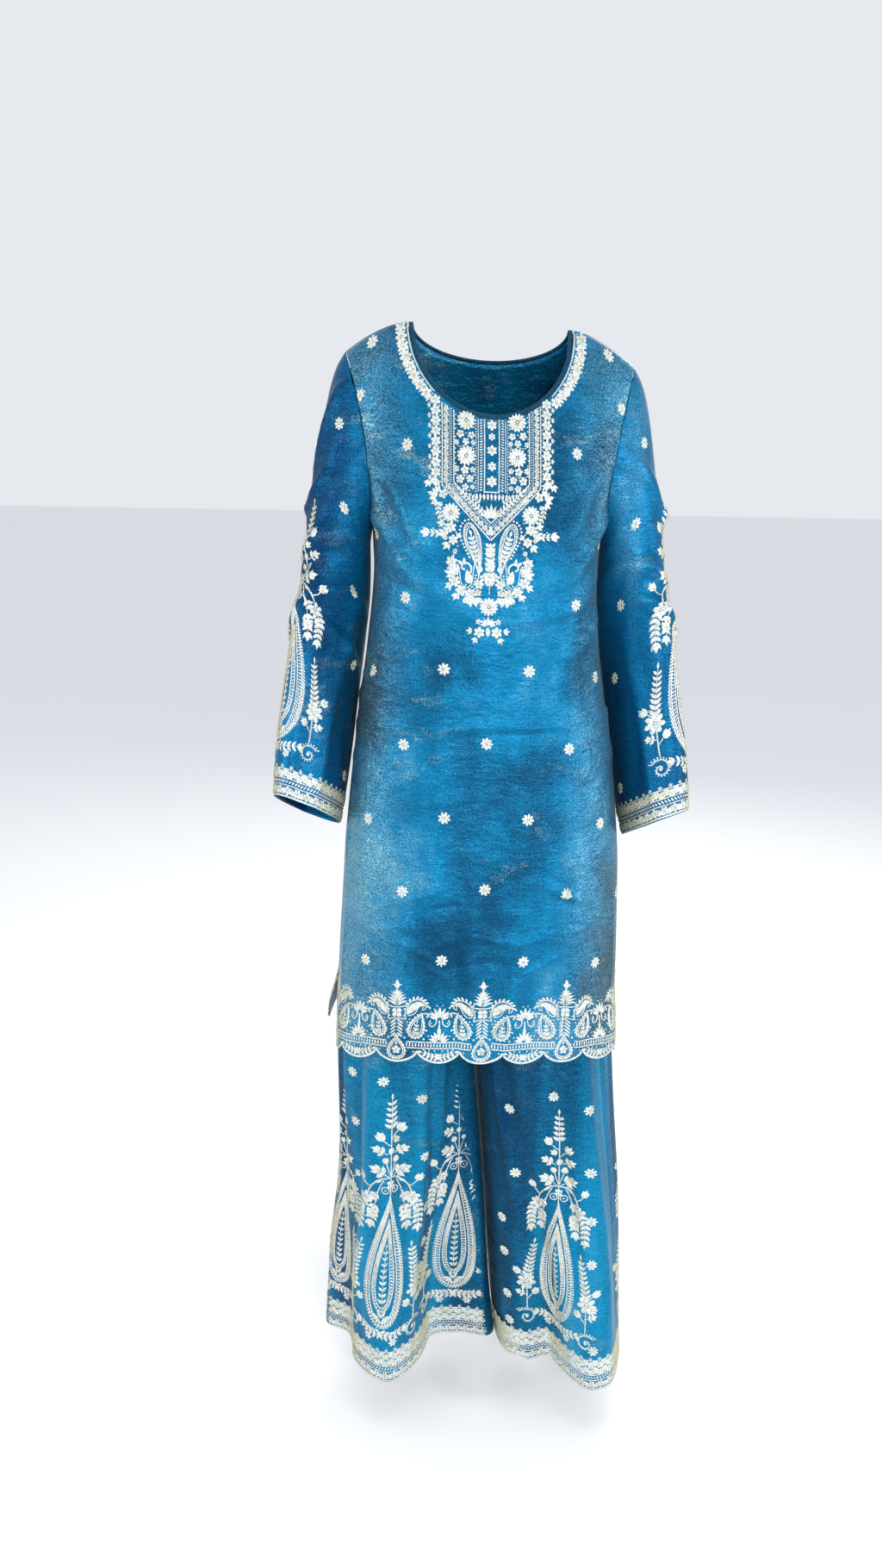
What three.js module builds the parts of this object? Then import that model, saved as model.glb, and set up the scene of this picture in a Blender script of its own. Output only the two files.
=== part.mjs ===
// A two-piece sharara suit in tissue silk: a long kurta with a scoop neck, bell sleeves, short side slits
// and a scalloped hem, worn over a wide-legged sharara. Each panel is a thin wall of cloth in the shape
// that it takes when it is worn. Millimetres, +Z up, the front faces -Y. The origin is midway between the
// two points where the neck edge meets the shoulder seams, so the whole suit hangs below z = 0.

import * as THREE from "three";

// ---- Driving dimensions ----
const WALL = 1.4; // cloth with its embroidery thread
const SEAM = 0.3; // clear space between two panels at a seam

const NECK_HALF = 95; // half width of the neck opening at the shoulder seam
const NECK_SEAM = 0.7; // clear space between the binding and the neck edge, which it rolls over
const FRONT_NECK_DEEP = 106;
const BACK_NECK_DEEP = 38;
const PIPING_WIDE = 5; // the rolled binding round the neck edge
const PIPING_THICK = 2.6;

const TIP_X = 176; // shoulder tip, at the top of the armhole
const TIP_Z = -38;
const ARMPIT_X = 143;
const ARMPIT_Z = -246;
const ARMHOLE_FRONT = 57; // how far the armhole reaches forward and back of the side line
const ARMHOLE_BACK = 58;

const SLIT_TOP = -840; // the side seams are sewn down to here
const FRONT_SLIT_OPEN = 38; // how far the front's edge stands forward of the side line at the hem
const BACK_SLIT_OPEN = 12; // and the back's edge behind it
const BACK_FLARE = 15; // the back spreads wider than the front below the slits
const HEM_Z = -903; // kurta hem at centre front, at the points between two scallops
const HEM_DIP = 20; // the hem is lower at the sides
const SCALLOPS = 9; // scallops across each panel
const SCALLOP_DEEP = 15;
const SHOULDER_LEAN = 0.03; // the wearer's shoulders slope down to the right by this much
const HEM_LEAN = 0.01;

const WAIST_Z = -470;
const BAND_WIDE = 34; // waistband
const BAND_THICK = 2.6; // a folded casing
const HIP_Z = -600; // the crotch curve starts here
const CROTCH_Z = -745;
const SHARARA_HEM_Z = -1438;

// The body of the kurta, from the armholes down: half width at the side seams and how far it sits to the
// right, the reach of the front and of the back from the side line, and how square the outline is seen
// from above (2 is an ellipse).
const KURTA_RINGS = [
  { z: ARMPIT_Z, half: ARMPIT_X, shift: 0, front: 121, back: 90, square: 2.5 },
  { z: -300, half: 141, shift: 0, front: 123, back: 88, square: 2.5 },
  { z: -380, half: 148, shift: 0, front: 116, back: 85, square: 2.5 },
  { z: -445, half: 157, shift: 1, front: 113, back: 89, square: 2.6 },
  { z: -520, half: 168, shift: 3, front: 115, back: 99, square: 2.7 },
  { z: -640, half: 181, shift: 4, front: 123, back: 113, square: 2.8 },
  { z: -690, half: 184, shift: 4, front: 127, back: 118, square: 2.8 },
  { z: SLIT_TOP, half: 190, shift: 2, front: 135, back: 125, square: 2.8 },
  { z: -940, half: 189, shift: 0, front: 142, back: 130, square: 2.8 },
];

// A sleeve hangs beside the body. Each section is given by its outer and its inner edge, its half depth
// from front to back, and how far its front edge is tipped up.
const SLEEVE_SECTIONS = [
  { outX: 189, outY: 0, outZ: -61, inX: 146, inY: 3, inZ: -264, deep: 58, tip: 0 },
  { outX: 200, outY: 0, outZ: -102, inX: 146, inY: 8, inZ: -280, deep: 58, tip: 0 },
  { outX: 211, outY: -3, outZ: -168, inX: 146, inY: 16, inZ: -304, deep: 56, tip: 1 },
  { outX: 222, outY: -10, outZ: -242, inX: 147, inY: 24, inZ: -338, deep: 54, tip: 4 },
  { outX: 237, outY: -20, outZ: -334, inX: 152, inY: 28, inZ: -384, deep: 54, tip: 9 },
  { outX: 251, outY: -32, outZ: -423, inX: 162, inY: 26, inZ: -456, deep: 55, tip: 14 },
  { outX: 262, outY: -42, outZ: -500, inX: 173, inY: 16, inZ: -532, deep: 57, tip: 19 },
  { outX: 267, outY: -50, outZ: -550, inX: 181, inY: -4, inZ: -586, deep: 59, tip: 22 },
  { outX: 268, outY: -56, outZ: -585, inX: 189, inY: -30, inZ: -626, deep: 60, tip: 24 },
];
const RIGHT_SLEEVE_DROP = 8; // the arm on the right hangs a little lower

// The sharara, both legs together: half width and how far it sits to the right, its reach to front and
// back, and where the two legs part.
const SHARARA_RINGS = [
  { z: WAIST_Z, half: 124, shift: 0, front: 92, back: 78, part: 0 },
  { z: -540, half: 148, shift: 0, front: 100, back: 88, part: 0 },
  { z: HIP_Z, half: 160, shift: 0, front: 104, back: 96, part: 0 },
  { z: -670, half: 169, shift: 0, front: 108, back: 102, part: 0 },
  { z: CROTCH_Z, half: 174, shift: 0, front: 110, back: 103, part: 0 },
  { z: -860, half: 181, shift: 0, front: 108, back: 104, part: 0 },
  { z: -950, half: 188, shift: 1, front: 104, back: 106, part: 0 },
  { z: -1030, half: 192, shift: 4, front: 102, back: 108, part: 7 },
  { z: -1165, half: 200, shift: 10, front: 100, back: 110, part: 20 },
  { z: -1280, half: 211, shift: 9, front: 100, back: 112, part: 29 },
  { z: -1370, half: 217, shift: 10, front: 100, back: 114, part: 37 },
  { z: SHARARA_HEM_Z, half: 221, shift: 11, front: 100, back: 115, part: 45 },
];
const LEG_GAP = 3; // clear space between the two legs
const LEG_SQUARE = 2.3;
const FOLD_GROWTH = 1.2; // how slowly the folds open on the way down

// Ridges and valleys of each leg at its hem. turn is the place round the leg in degrees, from the side
// seam (0) over the front (90) to the inseam (180), and on over the back. out is how far out it lies,
// from the inseam (-1) to the side (1), fore is how far to the front (1) or the back (-1), and lift is
// how far the hem is raised there.
const HEM_FOLDS = {
  left: [
    { turn: 0, out: 1.0, fore: -0.18, lift: 0 },
    { turn: 22, out: 0.72, fore: 0.1, lift: 4 },
    { turn: 45, out: 0.62, fore: 0.62, lift: -4 },
    { turn: 68, out: 0.27, fore: 0.97, lift: -8 },
    { turn: 92, out: -0.08, fore: 0.6, lift: -2 },
    { turn: 112, out: -0.24, fore: 0.22, lift: 8 },
    { turn: 140, out: -0.58, fore: 0.17, lift: 10 },
    { turn: 165, out: -0.9, fore: 0.24, lift: 10 },
    { turn: 180, out: -0.99, fore: -0.04, lift: 8 },
    { turn: 205, out: -0.77, fore: -0.52, lift: 0 },
    { turn: 228, out: -0.43, fore: -0.97, lift: -4 },
    { turn: 250, out: -0.18, fore: -0.71, lift: 4 },
    { turn: 275, out: 0.18, fore: -1.0, lift: -4 },
    { turn: 300, out: 0.42, fore: -0.73, lift: 3 },
    { turn: 325, out: 0.75, fore: -0.84, lift: -4 },
    { turn: 345, out: 0.95, fore: -0.45, lift: 0 },
  ],
  right: [
    { turn: 0, out: 1.0, fore: -0.1, lift: 0 },
    { turn: 20, out: 0.93, fore: 0.52, lift: -2 },
    { turn: 42, out: 0.71, fore: 1.06, lift: -6 },
    { turn: 62, out: 0.34, fore: 1.18, lift: -8 },
    { turn: 82, out: 0.01, fore: 0.88, lift: -2 },
    { turn: 100, out: -0.21, fore: 0.62, lift: 4 },
    { turn: 130, out: -0.56, fore: 0.66, lift: 2 },
    { turn: 155, out: -0.89, fore: 0.44, lift: 2 },
    { turn: 180, out: -1.0, fore: -0.07, lift: 4 },
    { turn: 205, out: -0.74, fore: -0.54, lift: 0 },
    { turn: 228, out: -0.43, fore: -0.9, lift: -4 },
    { turn: 252, out: -0.12, fore: -0.68, lift: 3 },
    { turn: 278, out: 0.21, fore: -1.0, lift: -4 },
    { turn: 305, out: 0.5, fore: -0.71, lift: 3 },
    { turn: 335, out: 0.94, fore: -0.6, lift: -2 },
  ],
};

const SILK = { color: 0x0a6f9c, roughness: 0.42, metalness: 0.35 };
const PIPING_SILK = { color: 0x0a4468, roughness: 0.5, metalness: 0.2 };
const LEFT = -1;
const RIGHT = 1;
const FRONT = -1;
const BACK = 1;

// ---- Small tools ----
const mix = (a, b, share) => a + (b - a) * share;
const clamp = (value, low, high) => Math.min(Math.max(value, low), high);
const ease = (share) => share * share * (3 - 2 * share);
const rad = THREE.MathUtils.degToRad;
const range = (count) => Array.from({ length: count + 1 }, (_, i) => i / count);

// A smooth curve from one value to another, with the slope that it has at each.
function hermite(share, from, to, slopeFrom, slopeTo) {
  const [s2, s3] = [share ** 2, share ** 3];
  const ends = from + (to - from) * (3 * s2 - 2 * s3);
  return ends + (s3 - 2 * s2 + share) * slopeFrom + (s3 - s2) * slopeTo;
}

// A column of a table at height z, on a smooth curve through its rows, which run from the top down.
function at(rows, column, z) {
  const last = rows.length - 1;
  const found = rows.findIndex((row) => row.z < z);
  const i = clamp(found < 0 ? last : found, 1, last);
  const run = rows[i - 1].z - rows[i].z;
  const slope = (j) => {
    const [above, below] = [rows[Math.max(j - 1, 0)], rows[Math.min(j + 1, last)]];
    return (below[column] - above[column]) / (above.z - below.z);
  };
  const share = clamp((rows[i - 1].z - z) / run, 0, 1);
  return hermite(share, rows[i - 1][column], rows[i][column], run * slope(i - 1), run * slope(i));
}

// A panel of cloth: a wall on a grid of middle points, rows from top to bottom. A closed grid joins its
// last column to its first. Any other has one column too many at each side, which only gives the slope at
// the seam there. keep() moves a point of either face back to its own side of the panel's seams.
function clothWall(grid, { closed = false, keep = (point) => point, wall = WALL } = {}) {
  const rows = grid.length;
  const columns = grid[0].length - (closed ? 0 : 2);
  const wrap = (j) => (closed ? (j + columns) % columns : j + 1);
  const faces = [[], []];
  for (let i = 0; i < rows; i++) {
    for (let j = 0; j < columns; j++) {
      const down = grid[Math.min(i + 1, rows - 1)][wrap(j)].clone().sub(grid[Math.max(i - 1, 0)][wrap(j)]);
      const across = grid[i][wrap(j + 1)].clone().sub(grid[i][wrap(j - 1)]);
      const inset = closed ? 0 : (j === 0) - (j === columns - 1);
      const middle = grid[i][wrap(j)].clone().addScaledVector(across.clone().normalize(), (inset * SEAM) / 2);
      const normal = down.cross(across).normalize();
      [0.5, -0.5].forEach((half, face) => {
        faces[face].push(keep(middle.clone().addScaledVector(normal, half * wall)));
      });
    }
  }
  const points = [...faces[0], ...faces[1]];
  const outer = (i, j) => i * columns + (j % columns);
  const inner = (i, j) => rows * columns + outer(i, j);
  const index = [];
  const quad = (a, b, c, d) => {
    const shorter = points[a].distanceTo(points[c]) <= points[b].distanceTo(points[d]);
    index.push(...(shorter ? [a, b, c, a, c, d] : [a, b, d, b, c, d]));
  };
  const span = closed ? columns : columns - 1;
  for (let i = 0; i < rows - 1; i++) {
    for (let j = 0; j < span; j++) {
      quad(outer(i, j), outer(i + 1, j), outer(i + 1, j + 1), outer(i, j + 1));
      quad(inner(i, j), inner(i, j + 1), inner(i + 1, j + 1), inner(i + 1, j));
    }
  }
  for (let j = 0; j < span; j++) {
    quad(outer(0, j), outer(0, j + 1), inner(0, j + 1), inner(0, j));
    quad(outer(rows - 1, j + 1), outer(rows - 1, j), inner(rows - 1, j), inner(rows - 1, j + 1));
  }
  if (!closed) {
    const last = columns - 1;
    for (let i = 0; i < rows - 1; i++) {
      quad(outer(i + 1, 0), outer(i, 0), inner(i, 0), inner(i + 1, 0));
      quad(outer(i, last), outer(i + 1, last), inner(i + 1, last), inner(i, last));
    }
  }
  const geometry = new THREE.BufferGeometry();
  const positions = points.flatMap((point) => point.toArray());
  geometry.setAttribute("position", new THREE.Float32BufferAttribute(positions, 3));
  geometry.setIndex(index);
  return geometry;
}

// The slope of the wearer's shoulders, which fades towards the hem.
function hang(point) {
  const share = clamp(point.z / HEM_Z, 0, 1);
  point.z -= point.x * mix(SHOULDER_LEAN, HEM_LEAN, share);
  return point;
}

const suit = new THREE.Group();

function sew(name, geometry, finish = SILK) {
  const mesh = new THREE.Mesh(geometry, new THREE.MeshStandardMaterial(finish));
  mesh.name = name;
  suit.add(mesh);
}

// ---- Kurta body ----

// The armhole, from the armpit (rise 0) to the shoulder tip (rise 1), on the front or the back.
function armhole(rise, face) {
  const climbed = (1 - Math.cos(Math.PI * rise)) / 2;
  const reach = face === FRONT ? ARMHOLE_FRONT : ARMHOLE_BACK;
  return {
    climbed,
    x: mix(ARMPIT_X, TIP_X, climbed ** 2),
    y: face * reach * Math.sin(Math.PI * rise),
    z: mix(ARMPIT_Z, TIP_Z, climbed),
  };
}

// Height of the shoulder seam at a distance x from the middle.
function shoulderZ(x) {
  const share = clamp((Math.abs(x) - NECK_HALF) / (TIP_X - NECK_HALF), 0, 1);
  return TIP_Z * share ** 1.7;
}

// A point of the upper body, between the armholes: u runs from -1 to 1, rise from 0 to 1.
function bodicePoint(u, rise, face) {
  const edge = armhole(rise, face);
  const ring = KURTA_RINGS[0];
  const reach = face === FRONT ? ring.front : ring.back;
  const x = u * edge.x;
  const z = mix(ARMPIT_Z, shoulderZ(u * TIP_X), edge.climbed);
  const middle = face * reach * (1 - edge.climbed ** 2.3);
  const round = mix(1, ring.square, (1 - edge.climbed) ** 3);
  const share = (1 - Math.abs(u) ** ring.square) ** (1 / round);
  const edgeShare = Math.abs(u) ** (4 + 14 * (1 - edge.climbed) ** 3);
  return new THREE.Vector3(x, middle * share + edge.y * edgeShare, z);
}

// A point of the body below the armpits.
function bodyPoint(u, z, face) {
  const square = at(KURTA_RINGS, "square", z);
  const reach = at(KURTA_RINGS, face === FRONT ? "front" : "back", z);
  const y = face * reach * (1 - Math.abs(u) ** square) ** (1 / square);
  const x = at(KURTA_RINGS, "shift", z) + u * at(KURTA_RINGS, "half", z);
  return new THREE.Vector3(x, y, z);
}

// The rise at which column u of the bodice meets an ellipse round the neck, this far outside its edge.
function neckRise(u, face, outside) {
  const deep = (face === FRONT ? FRONT_NECK_DEEP : BACK_NECK_DEEP) + outside;
  let [low, high] = [0, 1];
  for (let step = 0; step < 40; step++) {
    const rise = (low + high) / 2;
    const { x, z } = bodicePoint(u, rise, face);
    if ((x / (NECK_HALF + outside)) ** 2 + (z / deep) ** 2 < 1) high = rise;
    else low = rise;
  }
  return low;
}

// Columns from the middle out, repeated to the left of it.
const bothWays = (half) => [...half.slice(1).reverse().map((u) => -u), ...half];

// Columns from the middle to the end of the neck edge, close together where the edge is steep.
function neckColumns(count, outside) {
  const share = (NECK_HALF + outside) / TIP_X;
  return range(count).map((step) => share * Math.sin((step * Math.PI) / 2));
}

// Columns of the whole body: those under the neck edge, then even steps round the side.
function bodyColumns(neckCount, sideCount) {
  const neck = neckColumns(neckCount, PIPING_WIDE + NECK_SEAM);
  const power = KURTA_RINGS[0].square / 2;
  const start = Math.asin(neck[neckCount] ** power);
  const side = range(sideCount).map((share) => Math.sin(mix(start, Math.PI / 2, share)) ** (1 / power));
  return bothWays([...neck, ...side.slice(1)]);
}

// Height of the scalloped hem: place runs from -1 to 1 along the edge.
function kurtaHem(place) {
  const scallop = ((place + 1) / 2) * SCALLOPS;
  const dip = HEM_DIP * Math.abs(place) ** 2.5;
  return HEM_Z - dip - SCALLOP_DEEP * Math.abs(Math.sin(Math.PI * scallop)) ** 0.6;
}

// How far down its slit a point of the body is.
const slitShare = (z) => ease(clamp((SLIT_TOP - z) / (SLIT_TOP - HEM_Z + HEM_DIP), 0, 1));

function kurtaPanel(face, neckCount, sideCount, bodiceRows, bodyRows) {
  const columns = bodyColumns(neckCount, sideCount);
  const neckEnd = columns[columns.length - 1 - sideCount];
  const topRise = columns.map((u) =>
    Math.abs(u) < neckEnd - 1e-6 ? neckRise(u, face, PIPING_WIDE + NECK_SEAM) : 1,
  );
  const edge = columns.map((u) => bodyPoint(u, HEM_Z, face));
  const run = edge.map((point, j) => (j ? point.distanceTo(edge[j - 1]) : 0));
  const walked = run.map((_, j) => run.slice(0, j + 1).reduce((sum, step) => sum + step));
  const place = walked.map((length) => (2 * length) / walked[walked.length - 1] - 1);
  const bodice = range(bodiceRows).map((share) =>
    columns.map((u, j) => bodicePoint(u, (1 - share) * mix(1, topRise[j], 1 - share), face)),
  );
  const body = range(bodyRows).slice(1).map((share) =>
    columns.map((u, j) => {
      const point = bodyPoint(u, mix(ARMPIT_Z, kurtaHem(place[j]), share), face);
      const open = slitShare(point.z);
      point.y += face * (face === FRONT ? FRONT_SLIT_OPEN : BACK_SLIT_OPEN) * open * u ** 8;
      if (face === BACK) point.x += BACK_FLARE * open * u ** 3;
      return point;
    }),
  );
  const grid = [...bodice, ...body].map((row) => pastSeams(row).map(hang));
  if (face === BACK) grid.forEach((row) => row.reverse());
  return clothWall(grid, { keep: (point) => keepSide(point, face) });
}

// A row with one more point past each end, where the other panel of the body carries on.
function pastSeams(row) {
  const mirror = (point, end) => new THREE.Vector3(point.x, 2 * end.y - point.y, point.z);
  const [first, last] = [row[0], row[row.length - 1]];
  return [mirror(row[1], first), ...row, mirror(row[row.length - 2], last)];
}

// Keeps a point on its own side of the side seams and of the shoulder seams.
function keepSide(point, face) {
  point.y = face * Math.max(face * point.y, SEAM / 2);
  return point;
}

sew("kurta_front", kurtaPanel(FRONT, 6, 7, 7, 14));
sew("kurta_back", kurtaPanel(BACK, 4, 6, 6, 12));

// The binding, rolled over the neck edge.
function neckBinding(face, count) {
  const grid = [0, PIPING_WIDE / 2, PIPING_WIDE].map((outside) =>
    bothWays(neckColumns(count, outside)).map((u, j) => {
      const end = j === 0 || j === 2 * count;
      return bodicePoint(u, end ? 1 : neckRise(u, face, outside), face);
    }),
  ).map((row) => pastSeams(row).map(hang));
  if (face === BACK) grid.forEach((row) => row.reverse());
  return clothWall(grid, { keep: (point) => keepSide(point, face), wall: PIPING_THICK });
}

sew("neck_binding_front", neckBinding(FRONT, 6), PIPING_SILK);
sew("neck_binding_back", neckBinding(BACK, 4), PIPING_SILK);

// ---- Sleeves ----

function sleeve(side) {
  const around = 18;
  const turns = range(around).slice(0, around);
  const drop = side === RIGHT ? RIGHT_SLEEVE_DROP : 0;
  const head = turns.map((turn) => {
    const face = turn < 0.5 ? FRONT : BACK;
    const rise = Math.abs(1 - 2 * turn);
    const { x, y, z } = armhole(rise, face);
    return hang(new THREE.Vector3(side * (x + WALL + SEAM), y, z));
  });
  const sections = SLEEVE_SECTIONS.map((row, i) => {
    const lower = drop * ease(i / (SLEEVE_SECTIONS.length - 1));
    return turns.map((turn) => {
      const angle = 2 * Math.PI * turn;
      const share = (1 + Math.cos(angle)) / 2;
      const fore = Math.sin(angle);
      const x = side * mix(row.inX, row.outX, share) + (1 - share) * at(KURTA_RINGS, "shift", row.inZ);
      const y = mix(row.inY, row.outY, share) - row.deep * fore;
      const z = mix(row.inZ, row.outZ, share) + row.tip * fore - lower;
      return hang(new THREE.Vector3(x, y, z));
    });
  });
  const grid = [head, ...sections];
  if (side === RIGHT) grid.forEach((row) => row.reverse());
  return clothWall(grid, { closed: true });
}

sew("sleeve_left", sleeve(LEFT));
sew("sleeve_right", sleeve(RIGHT));

// ---- Sharara ----

// A column of a table of folds, on a smooth closed curve through its rows.
function round(folds, column, angle) {
  const turn = (angle + 360) % 360;
  const count = folds.length;
  const next = folds.findIndex((fold) => fold.turn > turn);
  const i = (next < 0 ? count : next) - 1;
  const place = (j) => folds[(j + count) % count].turn + 360 * Math.floor(j / count);
  const value = (j) => folds[(j + count) % count][column];
  const slope = (j) => (value(j + 1) - value(j - 1)) / (place(j + 1) - place(j - 1));
  const run = place(i + 1) - place(i);
  return hermite((turn - place(i)) / run, value(i), value(i + 1), run * slope(i), run * slope(i + 1));
}

// A point of one leg. turn is in degrees: 0 at the side seam, 180 at the inseam, over 180 on the back.
function legPoint(side, turn, share) {
  const folds = HEM_FOLDS[side === LEFT ? "left" : "right"];
  const grown = ease(share) ** FOLD_GROWTH;
  const z = mix(CROTCH_Z, SHARARA_HEM_Z, share);
  const ring = (column) => at(SHARARA_RINGS, column, z);
  const swell = (value) => Math.sign(value) * Math.abs(value) ** (2 / LEG_SQUARE);
  const out = mix(swell(Math.cos(rad(turn))), round(folds, "out", turn), grown);
  const fore = mix(swell(Math.sin(rad(turn))), round(folds, "fore", turn), grown);
  const outer = ring("shift") + side * ring("half");
  const inner = ring("part") + (side * LEG_GAP) / 2;
  const x = mix(inner, outer, (1 + out) / 2);
  const y = -fore * ring(fore > 0 ? "front" : "back");
  return new THREE.Vector3(x, y, z + round(folds, "lift", turn) * share ** 4);
}

// A point of one panel above the crotch, where the legs share one tube and meet at the middle seams.
function hipPoint(side, face, turn, z) {
  const quarter = rad(face === FRONT ? turn / 2 : 180 - turn / 2);
  const reach = at(SHARARA_RINGS, face === FRONT ? "front" : "back", z);
  const x = side * at(SHARARA_RINGS, "half", z) * Math.cos(quarter);
  const hip = new THREE.Vector3(x, face * reach * Math.sin(quarter), z);
  const leg = legPoint(side, turn, 0).setZ(z);
  return hip.lerp(leg, ease(clamp((HIP_Z - z) / (HIP_Z - CROTCH_Z), 0, 1)));
}

function legPanel(side, face) {
  const [columns, hipRows, legRows] = [15, 3, 10];
  const steps = Array.from({ length: columns + 3 }, (_, i) => (180 * (i - 1)) / columns);
  const turns = steps.map((step) => (face === FRONT ? step : 360 - step));
  const hips = range(hipRows).slice(0, hipRows).map((share) =>
    turns.map((turn) => hipPoint(side, face, turn, mix(WAIST_Z, CROTCH_Z, share))),
  );
  const legs = range(legRows).map((share) => turns.map((turn) => legPoint(side, turn, share)));
  const grid = [...hips, ...legs];
  if ((side === RIGHT) !== (face === BACK)) grid.forEach((row) => row.reverse());
  const seams = (point) => {
    if (point.z > CROTCH_Z - 1) point.x = side * Math.max(side * point.x, SEAM / 2);
    return point;
  };
  return clothWall(grid, { keep: seams });
}

sew("sharara_left_front", legPanel(LEFT, FRONT));
sew("sharara_left_back", legPanel(LEFT, BACK));
sew("sharara_right_front", legPanel(RIGHT, FRONT));
sew("sharara_right_back", legPanel(RIGHT, BACK));

// The waistband is a plain casing on the top edge of the legs.
function waistband() {
  const waist = SHARARA_RINGS[0];
  const turns = range(24).slice(0, 24).map((share) => 2 * Math.PI * share);
  const grid = [WAIST_Z + BAND_WIDE, WAIST_Z + 2 * SEAM].map((z) =>
    turns.map((turn) => {
      const reach = Math.sin(turn) > 0 ? waist.front : waist.back;
      return new THREE.Vector3(-waist.half * Math.cos(turn), -reach * Math.sin(turn), z);
    }),
  );
  return clothWall(grid, { closed: true, wall: BAND_THICK });
}

sew("sharara_waistband", waistband());

export default suit;
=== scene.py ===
"""A two-piece sharara suit in peacock-blue tissue silk, worked with ivory and pale gold thread: a long kurta
with a scoop neck, bell sleeves and a scalloped hem, over a wide-legged sharara. Sizes are in millimetres."""

import math

import bpy
import numpy as np
from mathutils import Matrix, Vector


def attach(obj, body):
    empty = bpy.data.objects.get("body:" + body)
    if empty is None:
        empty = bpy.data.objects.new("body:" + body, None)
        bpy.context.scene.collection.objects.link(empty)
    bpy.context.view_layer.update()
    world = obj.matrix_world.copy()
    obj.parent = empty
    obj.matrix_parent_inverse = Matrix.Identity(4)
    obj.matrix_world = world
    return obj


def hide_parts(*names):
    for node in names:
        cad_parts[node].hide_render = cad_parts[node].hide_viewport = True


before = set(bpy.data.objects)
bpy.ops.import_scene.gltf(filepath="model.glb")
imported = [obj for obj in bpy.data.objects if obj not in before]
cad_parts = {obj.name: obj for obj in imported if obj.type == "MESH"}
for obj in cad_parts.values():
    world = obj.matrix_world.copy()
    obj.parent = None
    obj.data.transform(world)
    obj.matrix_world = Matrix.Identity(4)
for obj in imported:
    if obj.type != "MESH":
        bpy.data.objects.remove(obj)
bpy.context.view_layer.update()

# ---- Camera: in front of the chest and a little to the left, looking down at the knees ----
MM = 0.001  # a millimetre in metres, which the camera and the meshes are placed in
CAMERA_TURN, CAMERA_DIP, CAMERA_ROLL = (math.radians(a) for a in (2.5, 15, 1))
CAMERA_BACK, CAMERA_ASIDE, CAMERA_HEIGHT = 1585, 51, -154
CAMERA_LENS = 28.1

ahead = Vector((math.sin(CAMERA_TURN), math.cos(CAMERA_TURN), 0))
aside = Vector((math.cos(CAMERA_TURN), -math.sin(CAMERA_TURN), 0))
look = ahead * math.cos(CAMERA_DIP) - Vector((0, 0, math.sin(CAMERA_DIP)))
camera = bpy.data.objects.new("camera", bpy.data.cameras.new("camera"))
turned = Matrix((aside, aside.cross(look), -look)).transposed().to_4x4()
spot = -CAMERA_BACK * ahead - CAMERA_ASIDE * aside + Vector((0, 0, CAMERA_HEIGHT))
camera.matrix_world = Matrix.Translation(MM * spot) @ turned @ Matrix.Rotation(CAMERA_ROLL, 4, "Z")
camera.data.lens = CAMERA_LENS
camera.data.sensor_width = 36
bpy.context.collection.objects.link(camera)
bpy.context.scene.camera = camera

# ---- Kurta body ----
# A front and a back of tissue silk, sewn at the shoulders and down the sides to the slits. Both hang from
# the shoulders, close at the chest and straight over the hips, to a hem cut in scallops.
SEAM, CLOTH_THICK = 0.3, 0.9  # the space left at a seam, and the thickness of the cloth
NECK_HALF, FRONT_NECK_DEEP, BACK_NECK_DEEP = 95, 106, 38
PIPING_WIDE, NECK_SEAM = 5, 0.2
TIP_X, TIP_Z = 176, -38  # the tip of the shoulder
ARMPIT_X, ARMPIT_Z = 143, -246
ARMHOLE_FRONT, ARMHOLE_BACK = 57, 58
SLIT_TOP, FRONT_SLIT_OPEN, BACK_SLIT_OPEN, BACK_FLARE = -840, 38, 12, 15
HEM_Z, HEM_DIP, SCALLOPS, SCALLOP_DEEP = -903, 20, 9, 15
PAST_HEM = 4  # the net of the cloth runs on this far, and the scallops are cut out of it
SHOULDER_LEAN, HEM_LEAN = 0.03, 0.01
FRONT, BACK, LEFT, RIGHT = -1, 1, -1, 1


def table(names, *rows):
    """Columns of numbers by their names."""
    return dict(zip(names.split(), np.array(rows, float).T))


# the body's rings: half the width, the shift of the middle, how far the front and the back stand out, and
# how square the ring is
KURTA_RINGS = table(
    "z half shift front back square",
    (ARMPIT_Z, ARMPIT_X, 0, 121, 90, 2.5),
    (-300, 141, 0, 123, 88, 2.5),
    (-380, 148, 0, 116, 85, 2.5),
    (-445, 157, 1, 113, 89, 2.6),
    (-520, 168, 3, 115, 99, 2.7),
    (-640, 181, 4, 123, 113, 2.8),
    (-690, 184, 4, 127, 118, 2.8),
    (SLIT_TOP, 190, 2, 135, 125, 2.8),
    (-940, 189, 0, 142, 130, 2.8),
)


def mix(low, high, share):
    """The point that lies this share of the way from low to high."""
    return low + (high - low) * share


def ease(share):
    """A share that starts and stops softly."""
    return share * share * (3 - 2 * share)


def curve(share, start, end, slope_start, slope_end):
    """From start to end, with the slope that it has at each."""
    two, three = share**2, share**3
    ends = start + (end - start) * (3 * two - 2 * three)
    return ends + (three - 2 * two + share) * slope_start + (three - two) * slope_end


def smooth(places, values, place):
    """The value at a place, on a smooth curve through the values at some places, which rise."""
    gaps = [np.r_[row[1:], row[-1]] - np.r_[row[0], row[:-1]] for row in (values, places)]
    slope = gaps[0] / gaps[1]
    i = np.clip(np.searchsorted(places, place, side="right"), 1, len(places) - 1)
    run = places[i] - places[i - 1]
    share = np.clip((place - places[i - 1]) / run, 0, 1)
    return curve(share, values[i - 1], values[i], run * slope[i - 1], run * slope[i])


def at(rows, column, z):
    """A column of a table at height z. The table's rows run from the top down."""
    return smooth(-rows["z"], rows[column], -z)


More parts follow.
